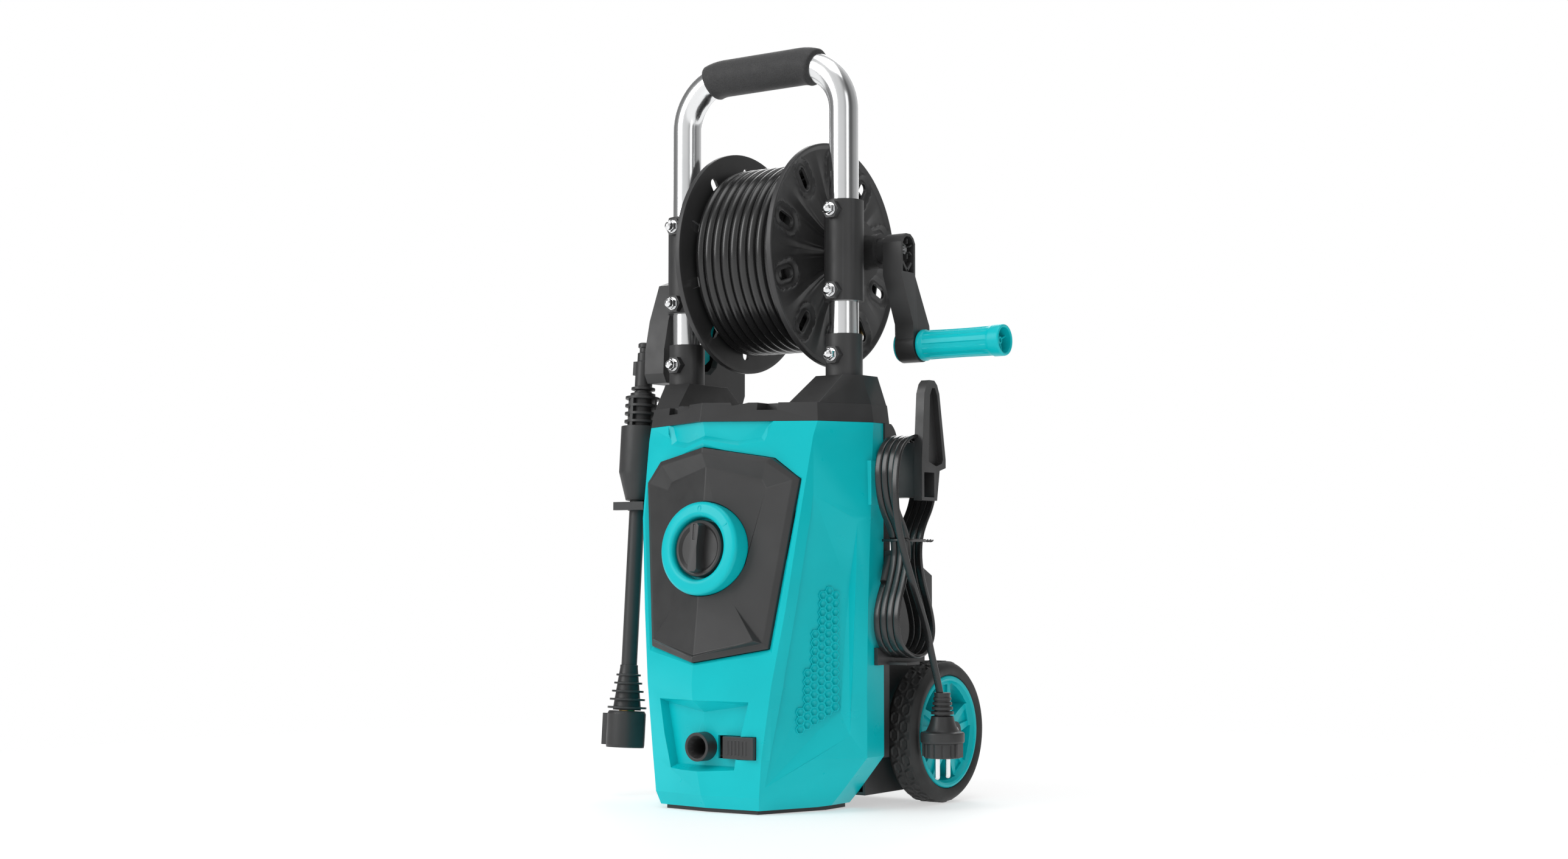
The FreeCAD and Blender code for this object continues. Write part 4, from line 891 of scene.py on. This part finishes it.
def add_switch():
    """The turning switch: a dished disc with a raised grip bar and a mark."""
    profile = [
        (0, -18), (5, -18), (5, -5), (25.8, -5), (26.3, -4.4), (26.3, 3.6), (25.7, 5.2), (24.3, 6),
        (22.6, 5.8), (21.4, 4.6), (20, 3.4), (0, 3.0),
    ]
    disc = turned(profile, (0, 0, 0), (0, 0, 1), 96)
    outline = []
    waist, half, end = 5.0, 23.0, 6.6
    for sign in SIDES:
        outline += [(end * sign, -half * sign * 0.9), (end * 0.95 * sign, half * sign * -0.6)]
        outline += [(waist * sign, 0), (end * 0.95 * sign, half * sign * 0.6)]
        outline += [(end * sign, half * sign * 0.9), (end * 0.6 * sign, half * sign)]
        outline += [(-end * 0.6 * sign, half * sign)]
    base = [(x, y, 1.5) for x, y in outline]
    top = [(x * 0.74, y * 0.965, 13.6) for x, y in outline]
    shoulder = [(x * 0.9, y * 0.99, 9.5) for x, y in outline]
    bar = ring_mesh([base, shoulder, top])
    whole = carved(disc, [bar], "UNION")
    groove = block((-1.3, 7, 12.6), (1.3, 21.4, 16))
    whole = carved(whole, [groove])
    mark = block((-0.9, 7.4, 12.4), (0.9, 21, 13.2))
    whole.transform(dial_matrix())
    mark.transform(dial_matrix())
    piece(joined(tidied(whole), mark), "switch_grip", "switch", "black_plastic", ("switch_knob",), 0.7, 28, 3)


add_panel()
add_dial()
add_switch()


# ---------------------------------------------------------------- handle
def handle_line(step_degrees=5):
    """The bent tube's centre line, up one leg, over and down the other."""
    foot, top, bend = 352, 704, 48
    points = [Vector((-TUBE_SIDE, 0, z)) for z in (foot, 420, 500, 580, top - bend)]
    for step in range(1, 90 // step_degrees + 1):
        angle = math.radians(step * step_degrees)
        across, up = bend * (1 - math.cos(angle)), bend * math.sin(angle)
        points.append(Vector((-TUBE_SIDE + across, 0, top - bend + up)))
    run = [Vector((x, 0, top)) for x in (-30, -15, 0)]
    left = points + run
    return left + [Vector((-point.x, 0, point.z)) for point in reversed(left[:-1])]


def add_handle():
    """Polished tube, open at both feet, and the foam grip, which follows the tube's bends."""
    side = Vector((0, 1, 0))
    line = handle_line()
    rings = [circle(14, 48), circle(12.5, 48)]
    outer = swept(line, rings[0], side, caps=False)
    inner = swept(line, rings[1], side, caps=False)
    for face in inner.faces:
        face.normal_flip()
    tube = joined(outer, inner)
    open_edges = [edge for edge in tube.edges if len(edge.link_faces) == 1]
    bridge_ends(tube, open_edges)
    piece(tube, "tube", "chassis", "aluminium_tube", ("handle_tube",), even=False)
    reach = 62
    kept = [point for point in line if abs(point.x) < reach and point.z > 690]
    start = grip_end(line, -reach)
    finish_point = grip_end(line, reach)
    near = 2.5
    kept = [p for p in kept if (p - start).length > near and (p - finish_point).length > near]
    kept = [start, *kept, finish_point]
    path, scales = [], []
    for index, point in enumerate(kept):
        if index == 0 or index == len(kept) - 1:
            other = kept[1] if index == 0 else kept[-2]
            along = (other - point).normalized()
            steps = [(0.0, 0.80), (0.25, 0.90), (0.9, 0.965), (2.2, 1.0)]
            if index:
                steps = steps[::-1]
            for shift, scale in steps:
                path.append(point + along * shift)
                scales.append(scale)
        else:
            path.append(point)
            scales.append(1.0)
    piece(swept(path, circle(18, 64), side, scales), "grip", "chassis", "foam", ("handle_grip",), even=False)


def grip_end(line, x):
    """The point of the line at a side distance, near the top."""
    for a, b in zip(line, line[1:]):
        if a.z > 650 and b.z > 650 and min(a.x, b.x) <= x <= max(a.x, b.x) and a.x != b.x:
            return a.lerp(b, (x - a.x) / (b.x - a.x))
    return line[0]


def bridge_ends(work, edges):
    """Closes the ring between an outer and an inner circle at each foot."""
    for sign in SIDES:
        near = [edge for edge in edges if edge.verts[0].co.x * sign > 0]
        bmesh.ops.bridge_loops(work, edges=near)


add_handle()


def add_cap_nuts():
    """Chromed cap nuts with their washers, facing the front."""
    works = []
    for z, face in ((422, -22.5), (482.3, -24), (558.5, -24)):
        for x in (-TUBE_SIDE, TUBE_SIDE):
            at, front = (x, face, z), (0, -1, 0)
            flat = [(3, 0.05), (6.2, 0.05), (6.2, 0.7), (6.0, 0.9), (3, 0.9)]
            washer = turned(flat, at, front, 48, closed=True)
            corner = 5 / math.cos(math.pi / 6)
            hexes = [(corner * 0.96, 0.95), (corner, 1.3), (corner, 4.4), (corner * 0.93, 5.0)]
            body = turned(hexes, (0, 0, 0), (0, 0, 1), 6)
            body.transform(axis_matrix(at, front) @ Matrix.Rotation(math.pi / 6, 4, "Z"))
            collar = turned([(corner * 0.4, 4.4), (4.9, 4.4), (4.9, 4.9), (4.5, 5.3)], at, front, 48)
            dome = [(4.5, 5.0), (4.5, 5.6)]
            dome += [(4.5 * math.cos(a), 5.6 + 4.0 * math.sin(a)) for a in (0.3, 0.6, 0.9, 1.2, 1.4)]
            works += [washer, body, collar, turned(dome + [(0, 9.62)], at, front, 48)]
    piece(joined(*works), "nuts", "chassis", "bright_steel", ("cap_nuts",), 0.25, 35)


add_cap_nuts()


# ---------------------------------------------------------------- reel
FLANGE_RADIUS = 108.9
SLOT_LOW, SLOT_HIGH, SLOT_HALF = 78, 91, 5
SLOTS = 10


def flange_height(radius, angle):
    """Outer face of the flange above its inner face: hub cone, folds, dishes and lip."""
    base = [(12.3, 16), (17, 16), (19, 15.2), (26, 12.4), (40, 7.2), (62, 3.6), (104.6, 3.2), (109, 3.2)]
    height = base[-1][1]
    for (r0, h0), (r1, h1) in zip(base, base[1:]):
        if r0 <= radius <= r1:
            height = h0 + (h1 - h0) * (radius - r0) / (r1 - r0)
            break
    pitch = FULL_TURN / SLOTS
    local = (angle + pitch / 2) % pitch - pitch / 2
    x, y = radius * math.cos(local), radius * math.sin(local)
    away = math.hypot(max(SLOT_LOW - x, 0, x - SLOT_HIGH), y)
    if away < 17:
        rim = max(0.0, 1 - abs(away - 13.4) / 1.1)
        dish = max(0.0, min(1.0, (12.3 - away) / 2.4))
        collar = max(0.0, min(1.0, (7.6 - away) / 1.2))
        height += 1.1 * rim - 1.9 * dish + 1.6 * collar
    if 24 < radius < 104:
        edge = abs(local) / (pitch / 2)
        fold = max(0.0, 1 - abs(edge - 1) * 3.2)
        rise = min((radius - 24) / 12, 1) * max(0.0, min(1.0, (104 - radius) / 40))
        height += 3.0 * fold * rise
        lean = max(0.0, 1 - abs(edge - 0.62) * 6) * max(0.0, min(1.0, (72 - radius) / 30))
        height += 0.9 * lean * rise
    return height


def add_flange(side):
    """A flange as a polar grid, with its rolled lip, its folds and ten slots cut through."""
    steps = 360
    inner_radii = [12.3, 40, 70, 74, 80, 88, 94, 104]
    outer_radii = [12.3, 15, 17, 19, 22, 26] + list(range(29, 66, 3))
    outer_radii += [65 + 0.9 * step for step in range(1, 44)]
    profile = [(radius, 0.0, False) for radius in inner_radii]
    profile += [(FLANGE_RADIUS - 0.6, 0.0, False), (FLANGE_RADIUS, 0.6, False), (FLANGE_RADIUS, 4.9, False)]
    lip = [(0.6, 5.5), (2.0, 5.5), (2.7, 5.0)]
    profile += [(FLANGE_RADIUS - inset, height, False) for inset, height in lip]
    profile += [(radius, 0.0, True) for radius in reversed(outer_radii)]
    rings = []
    for radius, fixed, shaped in profile:
        ring = []
        for step in range(steps):
            angle = FULL_TURN * step / steps
            height = flange_height(radius, angle) if shaped else fixed
            ring.append((radius * math.cos(angle), radius * math.sin(angle), height))
        rings.append(ring)
    body = ring_mesh(rings, closed=True)
    pitch = FULL_TURN / SLOTS
    slots = []
    for index in range(SLOTS):
        outline = []
        for centre, start in ((SLOT_HIGH, -90), (SLOT_LOW, 90)):
            for step in range(9):
                angle = math.radians(start + 22.5 * step)
                outline.append((centre + SLOT_HALF * math.cos(angle), SLOT_HALF * math.sin(angle), -5))
        slot = prism(outline, (0, 0, 20))
        slot.transform(Matrix.Rotation(index * pitch, 4, "Z"))
        slots.append(slot)
    body = carved(body, [joined(*slots)])
    body.transform(axis_matrix((side * 50.5, *REEL_AXIS), (side, 0, 0)))
    name = "right" if side > 0 else "left"
    thing = piece(body, "flange_" + name, "reel", "black_plastic", ("reel_flange_" + name,))
    soften(thing, 0.5, 55, 2)


for flange_side in SIDES:
    add_flange(flange_side)


# ---------------------------------------------------------------- crank
def add_crank_knob():
    """A hollow teal knob with lengthwise ribs, a flared mouth and a centre post, on its bearing."""
    ribs = 9

    def ribbed(radius, height, angle):
        if 7 < height < 76 and radius > 12:
            wave = math.cos(ribs * angle)
            blend = min((height - 7) / 5, (76 - height) / 5, 1)
            return radius - 1.0 * blend * (1 if wave > 0.35 else 0), height
        return radius, height

    sleeve = [(0, -24), (13.5, -24), (14.6, -23.4), (15, -22.6), (15, -21.6), (14.5, -21.2)]
    sleeve += [(8, -21.2), (8, 0)]
    root = [(12.5, 0), (14.2, 0.5), (15, 1.8), (15, 4.5), (14.2, 6), (14.0, 7.2)]
    grip = [(14.0 - 0.35 * math.sin(math.pi * s / 12), 8 + s * 5.6) for s in range(13)]
    mouth = [(14.2, 77.5), (14.9, 79), (14.9, 88), (14.4, 89.5), (13.4, 90), (12.4, 89.6), (11.8, 88.4)]
    cavity = [(11.4, 68), (4, 68), (4, 84), (3.2, 84.8), (2, 84.8), (2, 74), (0, 74)]
    body = turned(sleeve + root + grip + mouth + cavity, KNOB_AT, (1, 0, 0), 144, shape=ribbed)
    webs = []
    for index in range(4):
        web = block((3.4, -0.7, 67.5), (11.9, 0.7, 84))
        turn = Matrix.Rotation(math.pi / 2 * index + 0.4, 4, "Z")
        web.transform(axis_matrix(KNOB_AT, (1, 0, 0)) @ turn)
        webs.append(web)
    piece(joined(body, *webs), "knob_grip", "knob", "teal_plastic", ("crank_knob",), 0.2, 50)


def add_crank_ribs():
    """Stiffening ribs in the crank arm's pocket."""
    works = []
    for degrees in (150, 180, 210, 30, 90, -30, -90):
        rib = block((-0.7, 4.9, 131.2), (0.7, 9.6, 137.4))
        turn = Matrix.Rotation(math.radians(degrees), 4, "Z")
        rib.transform(axis_matrix((0, *REEL_AXIS), (1, 0, 0)) @ turn)
        works.append(rib)
    low, high = -21.5, -13
    for side in (-9.2, 9.2):
        corners = [(side, high), (side * 0.72, high + 1.2), (-side * 0.2, low + 1), (side * 0.1, low - 0.2)]
        outline = [(131.2, REEL_AXIS[0] + y, REEL_AXIS[1] + z) for y, z in corners]
        works.append(prism(outline, (6.2, 0, 0)))
    piece(joined(*works), "crank_ribs", "reel", "black_plastic", (), 0.2, 40)


add_crank_knob()
add_crank_ribs()


# ---------------------------------------------------------------- wheels
def tread_drop(angle, across):
    """How far the tread is cut back: hexagon outlines in two staggered rows stand proud."""
    rows = ((11.6, 0.0), (22.4, 0.5))
    blocks = 26
    drop = 1.1
    for centre, phase in rows:
        along = ((angle / FULL_TURN * blocks + phase) % 1 - 0.5) * FULL_TURN * 67.4 / blocks
        x, y = abs(along) / 6.6, abs(across - centre) / 4.6
        distance = max(y, x * 0.9 + y * 0.45)
        if 0.72 < distance < 1.0:
            return 0.0
    return drop


def add_tyre(side, name):
    """A solid tyre with a raised tread, flat shoulders and a smooth sidewall."""
    steps = 468
    width = 34
    half = [(53.4, 3), (55, 1.6), (58, 0.8), (60.6, 0.6), (62.4, 1.2), (64.2, 2.9), (65.6, 4.6), (66.4, 6.0)]
    tread = [6.4 + 0.72 * step for step in range(30)]
    profile = half + [(67.4, t) for t in tread] + [(r, width - w) for r, w in reversed(half)]
    profile += [(53.4, width - 6), (53.4, 6)]

    def shape(radius, across, angle):
        if radius > 67:
            return radius - tread_drop(angle, across), across
        return radius, across

    at = (side * 110, *AXLE_AXIS)
    work = turned(profile, at, (side, 0, 0), steps, closed=True, shape=shape)
    piece(work, "tyre_ring_" + name, "wheel_" + name, "tyre", ("tyre_" + name,))


def add_rim(side, name):
    """A teal rim: a stepped ring, a hub and five broad spokes with a sunk face each."""
    profile = [
        (5.1, 1), (13, 1), (13, 8), (47.5, 8), (47.5, 3), (53.2, 3), (53.2, 31), (52.4, 32), (50.4, 32.4),
        (48.6, 31.4), (47.2, 28.6), (45.6, 26.6), (30, 28.2), (19, 30), (15.5, 31.8), (12, 32), (5.1, 32),
    ]
    body = turned(profile, (0, 0, 0), (0, 0, 1), 160, closed=True)
    windows, pockets = [], []
    for index in range(5):
        middle = FULL_TURN * index / 5
        turn = Matrix.Rotation(middle, 4, "Z")
        window = prism([(20.5, -3.2, -5), (43.6, -17.6, -5), (45.8, -8, -5), (46.4, 0, -5), (45.8, 8, -5),
                        (43.6, 17.6, -5), (20.5, 3.2, -5)], (0, 0, 50))
        window.transform(turn)
        windows.append(window)
        floor = [(19.5, -1.4, 26.2), (44.4, -6.2, 24.4), (44.4, 6.2, 24.4), (19.5, 1.4, 26.2)]
        pocket = prism(floor, (0, 0, 14))
        pocket.transform(Matrix.Rotation(middle + math.pi / 5, 4, "Z"))
        pockets.append(pocket)
    body = carved(body, [joined(*windows), joined(*pockets)])
    body.transform(axis_matrix((side * 110, *AXLE_AXIS), (side, 0, 0)))
    body = tidied(body, 0.03, 0.4)
    piece(body, "rim_disc_" + name, "wheel_" + name, "teal_plastic", ("rim_" + name,), 0.8, 24, 3)


for wheel_side, wheel_name in ((1, "right"), (-1, "left")):
    add_tyre(wheel_side, wheel_name)
    add_rim(wheel_side, wheel_name)


# ---------------------------------------------------------------- CAD parts that keep their shape
BEVELS = {
    "rear_shell": 1.4, "top_deck": 1.6, "base_tray": 1.0, "cable_hook_upper": 1.1, "crank_arm": 1.0,
    "tube_sockets": 0.7, "reel_bracket_left": 0.9, "reel_bracket_right": 0.9, "gun_body": 1.6,
    "gun_trigger": 1.0, "lance_holder": 0.8, "gun_holster": 0.8, "outlet_latch": 0.5, "outlet_port": 0.5,
    "inlet_connector": 0.5, "lance_grip": 0.45, "nozzle_cage": 0.45, "nozzle_head": 0.5,
    "lance_bayonet": 0.4, "cable_hook_lower": 0.6,
}
DEFAULT_BEVEL = 0.3


def finish_cad_nodes():
    """Rounded edges and the record's own slot for each CAD piece that shows."""
    slots = {row["node"]: row["material_slot"] for row in frame["record"]["subparts"]}
    for name, thing in frame["nodes"].items():
        mesh = thing.data
        if "custom_normal" in mesh.attributes:
            mesh.attributes.remove(mesh.attributes["custom_normal"])
        mesh.polygons.foreach_set("use_smooth", [True] * len(mesh.polygons))
        mesh.materials.clear()
        mesh.materials.append(MATERIALS[slots[name]])
        weld = thing.modifiers.new("Weld", "WELD")
        weld.merge_threshold = 0.00001
        flat = thing.modifiers.new("Flat", "DECIMATE")
        flat.decimate_type = "DISSOLVE"
        flat.angle_limit = math.radians(1.0)
        soften(thing, BEVELS.get(name, DEFAULT_BEVEL), 28, 2)


finish_cad_nodes()


# ---------------------------------------------------------------- floor and light
def add_floor():
    """A plain pale floor, which fades to an even white away from the machine."""
    size = 12
    mesh = bpy.data.meshes.new("floor")
    corners = [(-size, -size, 0), (size, -size, 0), (size, size, 0), (-size, size, 0)]
    mesh.from_pydata(corners, [], [(0, 1, 2, 3)])
    floor = new_object("floor", mesh)
    material, tree, shader, place = graph("floor")
    colour = blended(tree, noise(tree, place, 3, 2), (0.60, 0.60, 0.60), (0.62, 0.62, 0.62))
    tree.links.new(colour, shader.inputs["Base Color"])
    shader.inputs["Roughness"].default_value = 0.7
    shader.inputs["Emission Color"].default_value = (1, 1, 1, 1)
    shader.inputs["Emission Strength"].default_value = 0.5
    reach = tree.nodes.new("ShaderNodeVectorMath")
    reach.operation = "LENGTH"
    tree.links.new(place, reach.inputs[0])
    plain = tree.nodes.new("ShaderNodeEmission")
    mix = tree.nodes.new("ShaderNodeMixShader")
    tree.links.new(spread(tree, reach.outputs["Value"], 0, 1, 0.35, 1.1), mix.inputs["Fac"])
    tree.links.new(shader.outputs["BSDF"], mix.inputs[1])
    tree.links.new(plain.outputs["Emission"], mix.inputs[2])
    tree.links.new(mix.outputs["Shader"], tree.nodes["Material Output"].inputs["Surface"])
    mesh.materials.append(material)


def add_area(name, at, size, power, aim=(0, 0, 0.35)):
    data = bpy.data.lights.new(name, "AREA")
    data.shape = "RECTANGLE"
    data.size, data.size_y = size
    data.energy = power
    lamp = bpy.data.objects.new(name, data)
    lamp.location = at
    lamp.rotation_euler = (Vector(aim) - Vector(at)).to_track_quat("-Z", "Y").to_euler()
    bpy.context.scene.collection.objects.link(lamp)


def add_world():
    """A pale studio with darker flanks, which give the bright metal its dark edges."""
    world = bpy.data.worlds.new("studio")
    bpy.context.scene.world = world
    world.use_nodes = True
    tree = world.node_tree
    shade = tree.nodes["Background"]
    place = tree.nodes.new("ShaderNodeTexCoord")
    split = tree.nodes.new("ShaderNodeSeparateXYZ")
    tree.links.new(place.outputs["Generated"], split.inputs["Vector"])
    turn = tree.nodes.new("ShaderNodeMath")
    turn.operation = "ARCTAN2"
    tree.links.new(split.outputs["Y"], turn.inputs[0])
    tree.links.new(split.outputs["X"], turn.inputs[1])
    ramp = tree.nodes.new("ShaderNodeValToRGB")
    ramp.color_ramp.interpolation = "EASE"
    # Brightness by compass direction, from -X through -Y (front), +X and +Y (back) to -X again.
    stops = [
        (0.0, 0.25), (0.08, 0.35), (0.20, 1.0), (0.33, 0.9), (0.42, 0.35), (0.50, 0.12), (0.60, 0.45),
        (0.75, 0.9), (0.9, 0.5), (1.0, 0.25),
    ]
    while len(ramp.color_ramp.elements) < len(stops):
        ramp.color_ramp.elements.new(0.5)
    for element, (position, value) in zip(ramp.color_ramp.elements, stops):
        element.position = position
        element.color = (value, value, value, 1)
    tree.links.new(spread(tree, turn.outputs["Value"], 0, 1, -math.pi, math.pi), ramp.inputs["Fac"])
    tree.links.new(ramp.outputs["Color"], shade.inputs["Color"])
    shade.inputs["Strength"].default_value = 0.75
    seen = tree.nodes.new("ShaderNodeBackground")
    seen.inputs["Color"].default_value = (1, 1, 1, 1)
    path = tree.nodes.new("ShaderNodeLightPath")
    mix = tree.nodes.new("ShaderNodeMixShader")
    tree.links.new(path.outputs["Is Camera Ray"], mix.inputs["Fac"])
    tree.links.new(shade.outputs["Background"], mix.inputs[1])
    tree.links.new(seen.outputs["Background"], mix.inputs[2])
    tree.links.new(mix.outputs["Shader"], tree.nodes["World Output"].inputs["Surface"])


add_floor()
add_world()
add_area("key", (-1.5, -2.4, 1.7), (1.6, 2.0), 40)
add_area("fill", (2.4, -1.2, 1.2), (0.8, 2.0), 6)
add_area("back", (-1.4, 2.2, 1.8), (1.6, 1.6), 22)
add_area("top", (0.2, -0.2, 2.6), (1.6, 1.6), 16)
bpy.context.scene.view_settings.view_transform = "Standard"
